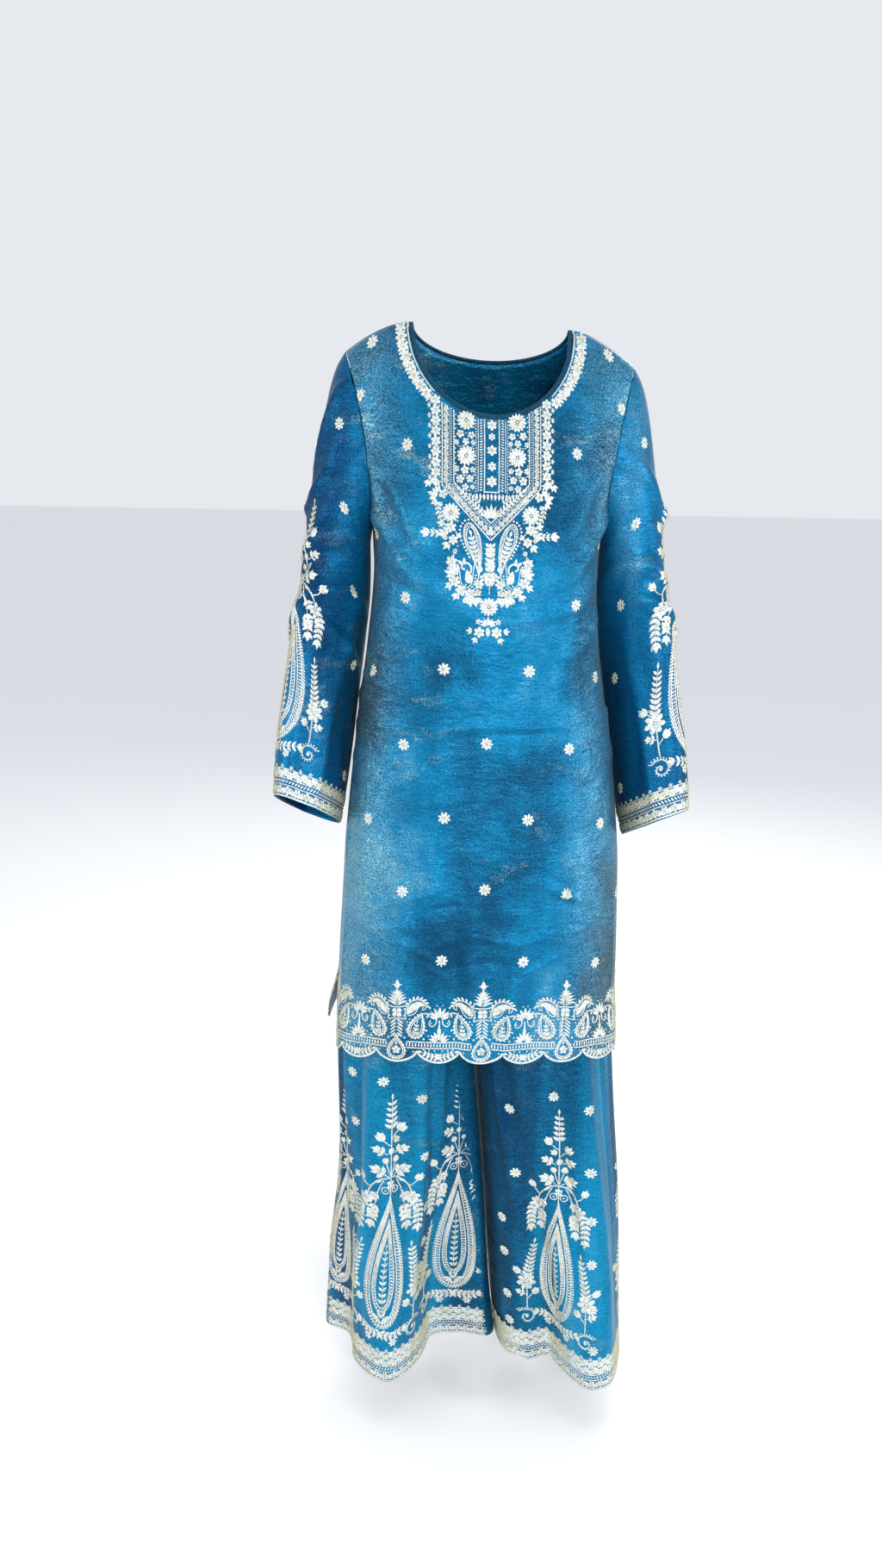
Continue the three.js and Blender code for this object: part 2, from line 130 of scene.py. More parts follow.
def hang(x, y, z):
    """The slope of the wearer's shoulders, which fades towards the hem."""
    lean = mix(SHOULDER_LEAN, HEM_LEAN, np.clip(z / HEM_Z, 0, 1))
    return np.stack(np.broadcast_arrays(x, y, z - x * lean), axis=-1)


def armhole(rise, face):
    """The armhole, from the armpit (rise 0) to the shoulder tip (rise 1)."""
    climbed = (1 - np.cos(math.pi * rise)) / 2
    reach = ARMHOLE_FRONT if face == FRONT else ARMHOLE_BACK
    x = mix(ARMPIT_X, TIP_X, climbed**2)
    return x, face * reach * np.sin(math.pi * rise), mix(ARMPIT_Z, TIP_Z, climbed)


def kurta_form(face):
    """The body's form: u runs from -1 to 1 between the side seams, and z is the height at the middle."""
    column = "front" if face == FRONT else "back"

    def form(u, z):
        climbed = np.clip((z - ARMPIT_Z) / -ARMPIT_Z, 0, 1)
        edge_x, edge_y, _ = armhole(np.arccos(1 - 2 * climbed) / math.pi, face)
        away = np.clip((np.abs(u) * TIP_X - NECK_HALF) / (TIP_X - NECK_HALF), 0, 1)
        square, reach = KURTA_RINGS["square"][0], KURTA_RINGS[column][0]
        across = (1 - np.abs(u) ** square) ** (1 / mix(1, square, (1 - climbed) ** 3))
        at_edge = np.abs(u) ** (4 + 14 * (1 - climbed) ** 3)
        bodice_y = face * reach * (1 - climbed**2.3) * across + edge_y * at_edge
        bodice = hang(u * edge_x, bodice_y, z + TIP_Z * away**1.7 * climbed)
        square, below = at(KURTA_RINGS, "square", z), np.minimum(z, ARMPIT_Z)
        y = face * at(KURTA_RINGS, column, below) * (1 - np.abs(u) ** square) ** (1 / square)
        x = at(KURTA_RINGS, "shift", below) + u * at(KURTA_RINGS, "half", below)
        opened = ease(np.clip((SLIT_TOP - z) / (SLIT_TOP - HEM_Z + HEM_DIP), 0, 1))
        y = y + face * (FRONT_SLIT_OPEN if face == FRONT else BACK_SLIT_OPEN) * opened * u**8
        x = x + (BACK_FLARE * opened * u**3 if face == BACK else 0)
        return np.where((z > ARMPIT_Z)[..., None], bodice, hang(x, y, z))

    return form


def walked(points, axis=0):
    """How far along its line of points each one lies. The lines run along this axis."""
    steps = np.linalg.norm(np.diff(points, axis=axis), axis=-1)
    return np.insert(np.cumsum(steps, axis=axis), 0, 0.0, axis=axis)


class Panel:
    """A piece of cloth as a net of points: rows at each height from the top down, columns across. Each point
    has its place on the flat cloth too, which is how far it lies along its row from the column at start."""

    RULE = 2.0  # the spacing of the even columns that thread work is laid on

    def __init__(self, form, columns, heights, outward=1, start=0.0, folds=()):
        self.columns, self.heights, self.outward = columns, heights, outward
        self.net = form(*np.meshgrid(columns, heights))
        self.across = walked(self.net, axis=1)
        self.across -= self.column_of(self.across, start)[:, None]
        self.normal = self.facing()
        for fold in folds:
            self.net = self.net + fold(self.across, heights[:, None])[..., None] * self.normal
        self.normal = self.facing()
        self.spread = None

    def facing(self):
        """The cloth's outward normals."""
        down, across = np.gradient(self.net, axis=0), np.gradient(self.net, axis=1)
        normal = self.outward * np.cross(down, across)
        return normal / np.maximum(np.linalg.norm(normal, axis=2, keepdims=True), 1e-9)

    def column_of(self, values, u):
        """The values along the column at u, one for each row."""
        place = np.interp(u, self.columns, np.arange(len(self.columns)))
        low = min(int(place), len(self.columns) - 2)
        return mix(values[:, low], values[:, low + 1], place - low)

    def among(self, heights):
        """The row just above each height, and the share of the way from it to the next."""
        place = np.interp(heights, self.heights[::-1], np.arange(len(self.heights))[::-1])
        low = np.clip(place.astype(int), 0, len(self.heights) - 2)
        return low, (place - low)[..., None]

    def cut(self, heights):
        """The points and the normals of a grid with the panel's columns, and a height for each point."""
        low, share = self.among(heights)
        column = np.arange(len(self.columns))
        take = lambda values: mix(values[low, column], values[low + 1, column], share)
        return take(self.net), take(self.normal)

    def row_at(self, z):
        """The row nearest to height z."""
        return np.abs(self.heights - z).argmin()

    def flat_at(self, x, z):
        """The flat place of the cloth that hangs at x in the row at height z."""
        row = self.row_at(z)
        return float(np.interp(x, self.net[row, :, 0], self.across[row]))

    def lay(self, x, z, lift, along):
        """Points of the flat cloth, raised by lift. Here x runs from the start, or from the column along."""
        if self.spread is None:
            low, high = self.across.min(), self.across.max()
            self.ruler = np.arange(low, high + self.RULE, self.RULE)
            both = np.concatenate([self.net, self.normal], axis=2)
            self.spread = np.array(
                [[np.interp(self.ruler, a, row[:, k]) for k in range(6)] for a, row in zip(self.across, both)]
            )
        i, share = self.among(z)
        if along is not None:
            column = self.column_of(self.across, along)
            x = x + mix(column[i], column[i + 1], share[:, 0])
        place = np.clip((x - self.ruler[0]) / self.RULE, 0, len(self.ruler) - 1.001)
        j = place.astype(int)
        beside = (place - j)[:, None]
        upper, lower = (mix(self.spread[k, :, j], self.spread[k, :, j + 1], beside) for k in (i, i + 1))
        found = mix(upper, lower, share)
        return found[:, :3] + found[:, 3:] * lift[:, None]


def make_piece(name, points, faces):
    """A smooth mesh of triangles or quads, from points in millimetres."""
    mesh = bpy.data.meshes.new(name)
    mesh.from_pydata(MM * points, [], faces)
    mesh.shade_smooth()
    mesh.validate()
    thing = bpy.data.objects.new(name, mesh)
    bpy.context.collection.objects.link(thing)
    return thing


def squares(grid):
    """The quads between the neighbours in a grid of points."""
    corners = [grid[:-1, :-1], grid[1:, :-1], grid[1:, 1:], grid[:-1, 1:]]
    return np.stack(corners, axis=-1).reshape(-1, 4)


def shell(name, points, normals, thick=CLOTH_THICK, closed=False, turned=False):
    """A thin closed shell of cloth on a grid of points. A closed one joins its last column to its first."""
    rows, columns = points.shape[:2]
    if closed:
        columns = columns - 1
        points, normals = points[:, :-1], normals[:, :-1]
    both = np.concatenate([(points + side * thick / 2 * normals).reshape(-1, 3) for side in (1, -1)])
    outer = np.arange(rows * columns).reshape(rows, columns)
    if closed:
        outer = np.concatenate([outer, outer[:, :1]], axis=1)
    inner = outer + rows * columns
    # the raw edges run round the cloth: its top, its bottom and its two sides
    rims = [np.s_[0], np.s_[-1, ::-1]]
    if not closed:
        rims += [np.s_[::-1, 0], np.s_[:, -1]]
    grids = [outer, inner.T] + [np.stack([outer[rim], inner[rim]], axis=1) for rim in rims]
    faces = np.concatenate([squares(grid) for grid in grids])
    return make_piece(name, both, faces[:, ::-1] if turned else faces)


def creases(*rows):
    """Soft ridges, or troughs where deep is below 0. Each has its middle at x across the flat cloth and z up,
    is long and wide either way from it, leans from the level by an angle in degrees, and bows upwards."""

    def raised(across, height):
        total = 0.0
        for x, z, lean, long, wide, deep, bow in rows:
            cos, sin = math.cos(math.radians(lean)), math.sin(math.radians(lean))
            along = ((across - x) * cos + (height - z) * sin) / long
            aside = (height - z) * cos - (across - x) * sin - bow * (1 - along**2)
            total = total + deep * np.exp(-((aside / wide) ** 2)) * np.exp(-(along**4))
        return total

    return raised


def pressed(*rows):
    """Sharp lines where the cloth was folded for ironing, each from one end to the other."""

    def raised(across, height):
        total = 0.0
        for x, z, end_x, end_z, wide, deep in rows:
            run = np.array([end_x - x, end_z - z])
            long = np.hypot(*run)
            along = ((across - x) * run[0] + (height - z) * run[1]) / long**2
            aside = np.abs((across - x) * run[1] - (height - z) * run[0]) / long
            ends = np.clip(along / 0.06, 0, 1) * np.clip((1 - along) / 0.06, 0, 1)
            total = total + deep * np.exp(-aside / wide) * ends
        return total

    return raised


def neck_height(form, u, face, outside):
    """The height where each column meets an ellipse round the neck, this far outside its edge."""
    deep = (FRONT_NECK_DEEP if face == FRONT else BACK_NECK_DEEP) + outside
    low, high = np.full(u.shape, float(ARMPIT_Z)), np.zeros(u.shape)
    for _ in range(30):
        middle = (low + high) / 2
        x = form(u, middle)[..., 0]
        inside = (x / (NECK_HALF + outside)) ** 2 + (middle / deep) ** 2 < 1
        low, high = np.where(inside, low, middle), np.where(inside, middle, high)
    return low


def kurta_columns(form, each):
    """Columns that are even along the hem, so that each scallop has the same number, and more by the neck."""
    fine = np.linspace(-1, 1, 2001)
    edge = form(fine, np.full(fine.shape, float(HEM_Z)))
    along = walked(edge)
    even = np.interp(np.linspace(0, along[-1], SCALLOPS * each + 1), along, fine)
    close = (NECK_HALF + PIPING_WIDE + NECK_SEAM) / TIP_X * np.sin(np.radians(np.arange(64, 91, 4)))
    columns = np.unique(np.round(np.r_[even, close, -close], 6))
    place = 2 * np.interp(columns, fine, along) / along[-1] - 1
    return columns, place


def hem_height(place):
    """The scalloped hem: place runs from -1 to 1 along it."""
    scallop = np.abs(np.sin(math.pi * (place + 1) / 2 * SCALLOPS))
    return HEM_Z - HEM_DIP * np.abs(place) ** 2.5 - SCALLOP_DEEP * scallop**0.6


def kurta_piece(name, face, folds, rows, each):
    """One panel of the body, from the neck edge and the shoulders to the scallops. It has this many rows, and
    this many columns for each scallop."""
    form = kurta_form(face)
    columns, place = kurta_columns(form, each)
    lowest = HEM_Z - HEM_DIP - SCALLOP_DEEP
    heights = np.linspace(0, lowest - PAST_HEM, rows)
    panel = Panel(form, columns, heights, outward=-face, folds=folds)
    neck = neck_height(form, columns, face, PIPING_WIDE + NECK_SEAM)
    neck_x = form(columns, np.zeros(columns.shape))[:, 0]
    top = np.where(np.abs(neck_x) < NECK_HALF + PIPING_WIDE + NECK_SEAM - 0.01, neck, 0.0)
    share = np.linspace(1, 0, rows)[:, None]
    grid = HEM_Z * (1 - share) + top * share**4 + (hem_height(place) - HEM_Z) * (1 - share) ** 6
    points, normals = panel.cut(grid)
    points[..., 1] = face * np.maximum(face * points[..., 1], (SEAM + CLOTH_THICK) / 2)
    return panel, shell(name, points, normals, turned=face == BACK)


class Shade:
    """An output of a shader node. Arithmetic on it adds Math nodes."""

    def __init__(self, tree, socket):
        self.tree, self.socket = tree, socket

    def node(self, kind, settings=None, sockets=None, out=0):
        """A new node: its type, its settings, and the values or the links of its sockets."""
        made = self.tree.nodes.new("ShaderNode" + kind)
        for name, value in (settings or {}).items():
            setattr(made, name, value)
        for name, value in (sockets or {}).items():
            if isinstance(value, Shade):
                self.tree.links.new(value.socket, made.inputs[name])
            else:
                made.inputs[name].default_value = value
        return Shade(self.tree, made.outputs[out])

    def math(self, operation, first, second):
        """A Math node on two values."""
        return self.node("Math", {"operation": operation}, {0: first, 1: second})

    def __add__(self, other):
        return self.math("ADD", self, other)

    def __mul__(self, other):
        return self.math("MULTIPLY", self, other)

    def __sub__(self, other):
        return self.math("SUBTRACT", self, other)

    def __rsub__(self, other):
        return self.math("SUBTRACT", other, self)

    __radd__, __rmul__ = __add__, __mul__

    def step(self, low, high):
        """0 below low, 1 above high, and smooth between them."""
        settings = {"interpolation_type": "SMOOTHSTEP"}
        return self.node("MapRange", settings, {"Value": self, "From Min": low, "From Max": high})

    def blend(self, first, second):
        """A colour mixed from two by this share."""
        return self.node("Mix", {"data_type": "RGBA"}, {0: self, 6: first, 7: second}, out=2)

    def bump(self, strength, distance):
        """The surface's normal, with this as its height."""
        return self.node("Bump", {}, {"Height": self, "Strength": strength, "Distance": distance})

    def noise(self, scale, stretch=(1, 1, 1), detail=2.0, rough=0.5):
        """Soft noise over a place, with this many features to the metre."""
        stretched = self.node("Mapping", {}, {"Vector": self, "Scale": stretch})
        sockets = {"Vector": stretched, "Scale": scale, "Detail": detail, "Roughness": rough}
        return self.node("TexNoise", {}, sockets)


def linear(red, green, blue):
    """A colour as the shader wants it, from the usual 0 to 255."""
    parts = [c / 255 for c in (red, green, blue)]
    return tuple(c / 12.92 if c < 0.04045 else ((c + 0.055) / 1.055) ** 2.4 for c in parts) + (1.0,)


def finish(name):
    """A new material, the place on the object and the surface's shader."""
    material = bpy.data.materials.new(name)
    material.use_nodes = True
    tree = material.node_tree
    place = Shade(tree, tree.nodes.new("ShaderNodeTexCoord").outputs["Object"])
    return material, place, tree.nodes["Principled BSDF"]


def use(place, surface, **sockets):
    """Links or sets the surface's sockets, with _ for a space in their names."""
    for name, value in sockets.items():
        socket = surface.inputs[name.replace("_", " ")]
        if isinstance(value, Shade):
            place.tree.links.new(value.socket, socket)
        else:
            socket.default_value = value


# the pale gold of the gilt weft, which the painted sheen and highlights below use too
GILT_AND_SHEEN = linear(184, 198, 154)


def tissue_silk(name, deep, bright, gilt, crumple_and_crest_sheen=1.0, painted_side_sheen=0.0, fall=0.7, puckered=0.0):
    """Silk with a blue warp and a weft that carries flat gilt thread: blue, speckled with pale gold in random
    patches, and with pale gold painted as highlights on the crests of its crumples and as sheen down the
    sides of the body. It takes two depths of blue, the share of gilt, how crumpled it is (which also sets the
    painted crest highlights), how much painted sheen shows down the sides, how far its lighter and darker
    patches run down the cloth (less is further; on the sharara they are long streaks of painted light and
    shade for its folds), and how puckered it is along its folds."""
    material, place, surface = finish(name)
    patches = place.noise(7, (1, 1, fall), detail=3.0, rough=0.6)
    grain = place.noise(600, (1, 1, 1.3), rough=0.7)
    slubs = place.noise(60, (0.8, 0.8, 7))
    ground = (patches * 0.6 + grain * 0.32 + slubs * 0.08).step(0.39, 0.61).blend(deep, bright)
    aside = place.node("SeparateXYZ", {}, {0: place})
    # painted sheen: pale gold painted down the sides of the body, away from its middle
    painted_side_sheen_mask = (aside * aside).step(0.006, 0.024) * painted_side_sheen
    speckle = (grain * 0.9 + slubs * 0.1).step(0.46, 0.6)
    crumple = place.noise(24, (1, 1, 1.7), detail=5.0, rough=0.62)
    # painted highlights: pale gold painted on the crests of the crumples
    painted_crest_highlights = crumple.step(0.54, 0.68) * place.noise(3.3).step(0.42, 0.58)
    # the share of pale gold: random gilt patches, the painted crest highlights and the painted side sheen
    gilt_and_painted_sheen = speckle * (patches.step(0.54, 0.7) * 0.6 + painted_crest_highlights * (0.65 * crumple_and_crest_sheen) + painted_side_sheen_mask + 0.03)
    use(place, surface, Base_Color=(gilt_and_painted_sheen * gilt).blend(ground, GILT_AND_SHEEN), Metallic=0.55 + gilt_and_painted_sheen * 0.2)
    use(place, surface, Roughness=0.44 - gilt_and_painted_sheen * 0.06)
    bumps = crumple * crumple_and_crest_sheen + grain * 0.03
    if puckered:
        pulled = place.noise(11, (1, 1, 0.12)).step(0.5, 0.62) * puckered
        bumps = bumps + place.noise(75, (0.22, 0.22, 3.2), detail=1.0) * pulled
    use(place, surface, Normal=bumps.bump(0.8, 0.008), Anisotropic=0.35, Specular_IOR_Level=0.1)
    use(place, surface, Sheen_Weight=0.1, Sheen_Roughness=0.3, Sheen_Tint=linear(200, 205, 140))
    return material


def sew(piece, material, node=None):
    """Hangs a piece in its place. It stands for a CAD node."""
    piece.data.materials.append(material)
    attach(piece, "root")
    if node:
        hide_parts(node)


# the kurta's silk carries painted sheen down its sides
kurta_silk = tissue_silk("kurta_tissue_silk", linear(0, 62, 96), linear(2, 122, 168), gilt=0.6, painted_side_sheen=0.45)
FRONT_DRAPE = creases(
    # x, z, lean, long, wide, deep, bow
    # drag lines from the armholes and round the bust
    (-118, -215, -58, 70, 12, 6.8, 6),
    (-134, -262, -40, 60, 9, 4.7, 5),
    (-96, -300, -28, 70, 12, 4.1, 6),
    (118, -190, 62, 80, 13, 7.4, -8),
    (136, -250, 48, 64, 10, 6.1, -6),
    (104, -318, 24, 72, 12, 4.7, -6),
    (128, -366, 30, 50, 8, 4.7, -4),
    (-150, -398, 6, 40, 5, 4.5, 2),
    (-152, -432, -8, 44, 5, 5.2, 2),
    (-150, -452, 10, 38, 4.4, 3.8, -2),
    # soft ridges and troughs that fall from the bust and the hips
    (-62, -620, 88, 210, 24, 4.3, 6),
    (38, -660, 91, 230, 26, 4.6, -8),
    (98, -560, 86, 170, 18, 3.5, 5),
    (-14, -800, 89, 120, 12, 4.6, 4),
    (-34, -835, 92, 90, 9, -3.5, 2),
    (30, -838, 87, 88, 10, 4.1, -4),
    (70, -800, 90, 130, 14, -3.8, 3),
    (128, -800, 93, 110, 10, 4.9, 5),
    (112, -846, 88, 70, 7, -3.5, 2),
    (-110, -770, 87, 140, 14, 3.8, 4),
    # creases across, from the folding of the cloth
    (-24, -480, 2, 100, 4.4, 3.9, 3),
    (54, -484, -3, 60, 4.4, -2.7, 2),
    (-96, -700, 22, 44, 4.4, 6, 3),
    (-72, -712, 12, 40, 4.4, -4.8, 2),
    (92, -690, -26, 48, 4.4, 6.3, 5),
    (112, -706, -18, 36, 4.4, -5.1, 3),
    (-40, -752, 18, 36, 4.6, 5.4, 4),
    (8, -744, -14, 34, 4.4, 5.7, -3),
    (44, -760, 28, 38, 4.4, 5.4, 4),
    (-84, -770, -24, 34, 4.4, 5.1, 4),
    (-118, -742, 14, 30, 4.4, 5.1, 3),
    (88, -752, -8, 32, 4.6, 5.7, 3),
    (126, -738, 20, 30, 4.4, 4.8, 3),
    (-10, -784, 8, 36, 4.4, -4.5, 3),
    (66, -792, 34, 32, 4.4, 4.5, 3),
    (-58, -798, -30, 30, 4.4, 4.5, 3),
)
FRONT_IRONING = pressed(
    # x, z, end x, end z, wide, deep
    (-196, -420, -212, -900, 3.2, 4.2),
    (186, -456, 190, -540, 2.6, 3.4),
    (186, -700, 196, -890, 3.0, 2.6),
)
FRONT_FOLDS = [FRONT_DRAPE, FRONT_IRONING]
kurta_front, front_piece = kurta_piece("kurta_front_silk", FRONT, FRONT_FOLDS, rows=240, each=14)
sew(front_piece, kurta_silk, "kurta_front")

BACK_DRAPE = creases(
    # x, z, lean, long, wide, deep, bow
    (-112, -225, 58, 80, 13, 6.1, -6),
    (114, -235, -56, 84, 13, 6.8, 6),
    (-70, -350, 12, 90, 12, 4.1, 5),
    (60, -380, -10, 100, 14, 4.6, 6),
    (-12, -470, 4, 110, 6, 4.8, 4),
    (84, -498, -12, 60, 5, -4.2, 3),
    (-58, -640, 89, 240, 26, 5.1, 8),
    (50, -680, 92, 220, 24, 4.9, -6),
    (122, -700, 87, 180, 16, 4.3, 4),
    (-124, -720, 91, 170, 15, 4.1, -4),
    (2, -820, 90, 110, 12, -4.1, 4),
    (-90, -700, 20, 46, 4.4, 5.4, 3),
    (86, -716, -24, 48, 4.4, 5.7, 4),
    (-20, -752, -14, 38, 4.4, 5.1, 3),
    (34, -776, 24, 36, 4.4, 4.8, 4),
    (-70, -790, 16, 34, 4.4, 4.5, 3),
)
BACK_IRONING = pressed((-186, -430, -204, -890, 3.2, 4.0), (184, -450, 200, -880, 3.0, 3.2))
BACK_FOLDS = [BACK_DRAPE, BACK_IRONING]
kurta_back, back_piece = kurta_piece("kurta_back_silk", BACK, BACK_FOLDS, rows=130, each=12)
sew(back_piece, kurta_silk, "kurta_back")

# ---- Neck binding ----
# The scoop of the neck is bound with a bias strip of dark silk, rolled over the raw edge and stitched down.
# It is a round bead of cloth in a front and a back half, joined at the shoulder seams.
PIPING_THICK = 2.6


def neck_binding(name, face):
    """Half of the rolled edge: a round bead of cloth along an ellipse round the neck."""
    form = kurta_form(face)
    turn = np.radians(np.linspace(-90, 90, 121))
    rings = []
    for around in np.linspace(0, 2 * math.pi, 13):
        outside = PIPING_WIDE / 2 * (1 - math.cos(around))
        u = (NECK_HALF + outside) / TIP_X * np.sin(turn)
        height = neck_height(form, u, face, outside)
        height[[0, -1]] = 0.0
        points = form(u, height)
        raised = form(u, height + 1.0)
        side = np.gradient(points, axis=0)
        normal = -face * np.cross(points - raised, side)
        normal /= np.maximum(np.linalg.norm(normal, axis=1, keepdims=True), 1e-9)
        bead = points + normal * PIPING_THICK / 2 * math.sin(around)
        bead[:, 1] = face * np.maximum(face * bead[:, 1], SEAM / 2)
        rings.append(bead)
    net = np.array(rings)[:-1]
    grid = np.arange(net.size // 3).reshape(net.shape[:2])
    faces = squares(np.concatenate([grid, grid[:1]]))
    return make_piece(name, net.reshape(-1, 3), faces if face == FRONT else faces[:, ::-1])


binding_front = neck_binding("neck_piping_front", FRONT)
binding_back = neck_binding("neck_piping_back", BACK)


def piping_finish():
    """Plain dark silk with a fine twill."""
    material, place, surface = finish("neck_piping_silk")
    twill = place.noise(500, detail=1.0)
    use(place, surface, Base_Color=twill.step(0.3, 0.7).blend(linear(0, 42, 64), linear(0, 64, 92)))
    use(place, surface, Roughness=0.55, Specular_IOR_Level=0.15, Sheen_Weight=0.05, Sheen_Roughness=0.4)
    use(place, surface, Normal=twill.bump(0.3, 0.001))
    return material


piping_silk = piping_finish()
sew(binding_front, piping_silk, "neck_binding_front")
sew(binding_back, piping_silk, "neck_binding_back")

# ---- Sleeves ----
# Set-in bell sleeves of a deeper blue, each one piece with its seam under the arm. They hang a little
# forward, crushed at the elbow, and widen to a cuff that is bound with thread.
RIGHT_SLEEVE_DROP, SLEEVE_SEAM = 8, 0.5
SLEEVE_ROWS, SLEEVE_COLUMNS = 130, 72
SLEEVE_CUT, LEFT_SLEEVE_AREA, RIGHT_SLEEVE_AREA = (370, 560), 0.157, 0.158
# the sleeve's sections, each with its outer and its inner edge, its depth, and how far it tips forward
SLEEVES = table(
    "out_x out_y out_z in_x in_y in_z deep tip",
    (189, 0, -61, 146, 3, -264, 58, 0),
    (200, 0, -102, 146, 8, -280, 58, 0),
    (211, -3, -168, 146, 16, -304, 56, 1),
    (222, -10, -242, 147, 24, -338, 54, 4),
    (237, -20, -334, 152, 28, -384, 54, 9),
    (251, -32, -423, 162, 26, -456, 55, 14),
    (262, -42, -500, 173, 16, -532, 57, 19),
    (267, -50, -550, 181, -4, -586, 59, 22),
    (268, -56, -585, 189, -30, -626, 60, 24),
)


def bend(*points, each=6):
    """A smooth route through a few points, or a smooth cloth through a few rings."""
    points = np.array(points, float)
    padded = np.concatenate([2 * points[:1] - points[1:2], points, 2 * points[-1:] - points[-2:-1]])
    share = np.linspace(0, 1, each, endpoint=False).reshape((-1,) + (1,) * (points.ndim - 1))
    fours = zip(padded, padded[1:], padded[2:], padded[3:])
    spans = [curve(share, b, c, (c - a) / 2, (d - b) / 2) for a, b, c, d in fours]
    return np.concatenate(spans + [points[-1:]])


def sleeve_rings(side, turns):
    """The ring at the armhole and each section down to the cuff. A turn of 0 is on the outer edge, 0.25 at
    the front and 0.5 under the arm."""
    drop = RIGHT_SLEEVE_DROP if side == RIGHT else 0
    wrapped = turns % 1
    rise = np.abs(1 - 2 * wrapped)
    x, y, z = np.where(wrapped < 0.5, np.stack(armhole(rise, FRONT)), np.stack(armhole(rise, BACK)))
    rings = [hang(side * (x + SLEEVE_SEAM), y, z)]
    count = len(SLEEVES["deep"])
    share, fore = (1 + np.cos(2 * math.pi * turns)) / 2, np.sin(2 * math.pi * turns)
    for i in range(count):
        row = {name: values[i] for name, values in SLEEVES.items()}
        lower = drop * ease(i / (count - 1))
        shift = at(KURTA_RINGS, "shift", np.array([row["in_z"]]))[0]
        x = side * mix(row["in_x"], row["out_x"], share) + (1 - share) * shift
        y = mix(row["in_y"], row["out_y"], share) - row["deep"] * fore
        rings.append(hang(x, y, mix(row["in_z"], row["out_z"], share) + row["tip"] * fore - lower))
    return rings


def sleeve_form(side):
    """The sleeve's form, which keeps how long the sleeve is at each turn as form.long."""

    def form(turns, height):
        """Points at a height above the cuff, measured along the sleeve."""
        fine = bend(*sleeve_rings(side, turns[0]), each=20)[::-1]
        along = walked(fine)
        net = np.empty(height.shape + (3,))
        for j in range(height.shape[1]):
            for k in range(3):
                net[:, j, k] = np.interp(height[:, j], along[:, j], fine[:, j, k])
        form.long = along[-1]
        return net

    return form


def sleeve_piece(name, side, folds):
    """A sleeve in one piece, from the armhole to the cuff, with its seam under the arm."""
    form = sleeve_form(side)
    turns = np.linspace(-0.5, 0.5, SLEEVE_COLUMNS + 1)
    heights = np.linspace(SLEEVE_CUT[1], 0, SLEEVE_ROWS)
    panel = Panel(form, turns, heights, outward=-side, folds=folds)
    share = np.linspace(1, 0, SLEEVE_ROWS)[:, None]
    points, normals = panel.cut(share * form.long)
    points[:, -1], normals[:, -1] = points[:, 0], normals[:, 0]
    return panel, shell(name, points, normals, closed=True, turned=side == RIGHT)


sleeve_silk = tissue_silk(
    "sleeve_tissue_silk", linear(0, 48, 88), linear(0, 112, 158), gilt=0.4, crumple_and_crest_sheen=0.6, fall=0.2
)
LEFT_CRUSH = creases(
    # x, z, lean, long, wide, deep, bow
    (40, 470, 66, 90, 9, 6.1, 8),
    (72, 430, 56, 80, 8, -4.7, 6),
    (20, 380, 30, 60, 8, 5.4, 5),
    (60, 330, 24, 60, 8, 6.8, 6),
    (38, 292, 34, 58, 7, -5.4, 5),
    (84, 270, 12, 54, 8, 6.5, 5),
    (30, 236, 42, 60, 8, 5.9, 6),
    (96, 214, -14, 50, 8, 5.4, 5),
    (104, 140, 84, 120, 10, 6.8, 6),
    (70, 110, 88, 110, 9, -4.1, 4),
    (-40, 400, -50, 80, 9, 5.7, 6),
    (-70, 320, -24, 60, 8, 6.2, 5),
    (-46, 270, -34, 60, 8, 6.2, 6),
    (-90, 236, 10, 56, 8, 5.7, 5),
    (-84, 120, 86, 120, 11, 5.9, 5),
)
RIGHT_CRUSH = creases(
    # x, z, lean, long, wide, deep, bow
    (-40, 500, 70, 80, 10, -6.8, 8),
    (-66, 450, 60, 90, 9, 6.8, -6),
    (-20, 430, -62, 80, 8, 5.9, 6),
    (-54, 350, 26, 66, 8, 6.8, 6),
    (-28, 318, -18, 60, 7, -5.4, 5),
    (-74, 286, 30, 60, 8, 6.8, 6),
    (-40, 248, -26, 62, 8, 6.5, 5),
    (-92, 216, 12, 54, 8, 5.7, 5),
    (-108, 130, 94, 120, 10, 6.8, 6),
    (-74, 96, 90, 100, 9, -4.1, 4),
    (44, 410, 48, 80, 9, 5.9, 6),
    (72, 318, 22, 60, 8, 6.2, 5),
    (48, 262, 32, 60, 8, 6.5, 6),
    (88, 120, 88, 120, 11, 5.7, 5),
)
sleeve_left, left_sleeve_piece = sleeve_piece("sleeve_left_silk", LEFT, [LEFT_CRUSH])
sleeve_right, right_sleeve_piece = sleeve_piece("sleeve_right_silk", RIGHT, [RIGHT_CRUSH])
sew(left_sleeve_piece, sleeve_silk, "sleeve_left")
sew(right_sleeve_piece, sleeve_silk, "sleeve_right")

# ---- Sharara ----
# Wide trousers, each leg a front and a back that flare from the hips and fall in deep soft folds. They
# are cut full, so the cloth stands out in ridges at the front and lies back between them.
WAIST_Z, HIP_Z, CROTCH_Z, SHARARA_HEM_Z = -470, -600, -745, -1438
LEG_GAP, LEG_SQUARE, FOLD_GROWTH = 3, 2.3, 1.2
LEGS_WRAP = 7  # how far each inner seam turns in behind the other leg, so that no light shows between
WRAP_WIDE, WRAP_DEEP, WRAP_TALL = 22, 40, 60  # how softly that turn starts across, forward and downwards
LEG_LONG, LEG_ROWS, LEG_COLUMNS = WAIST_Z - SHARARA_HEM_Z, 150, 72
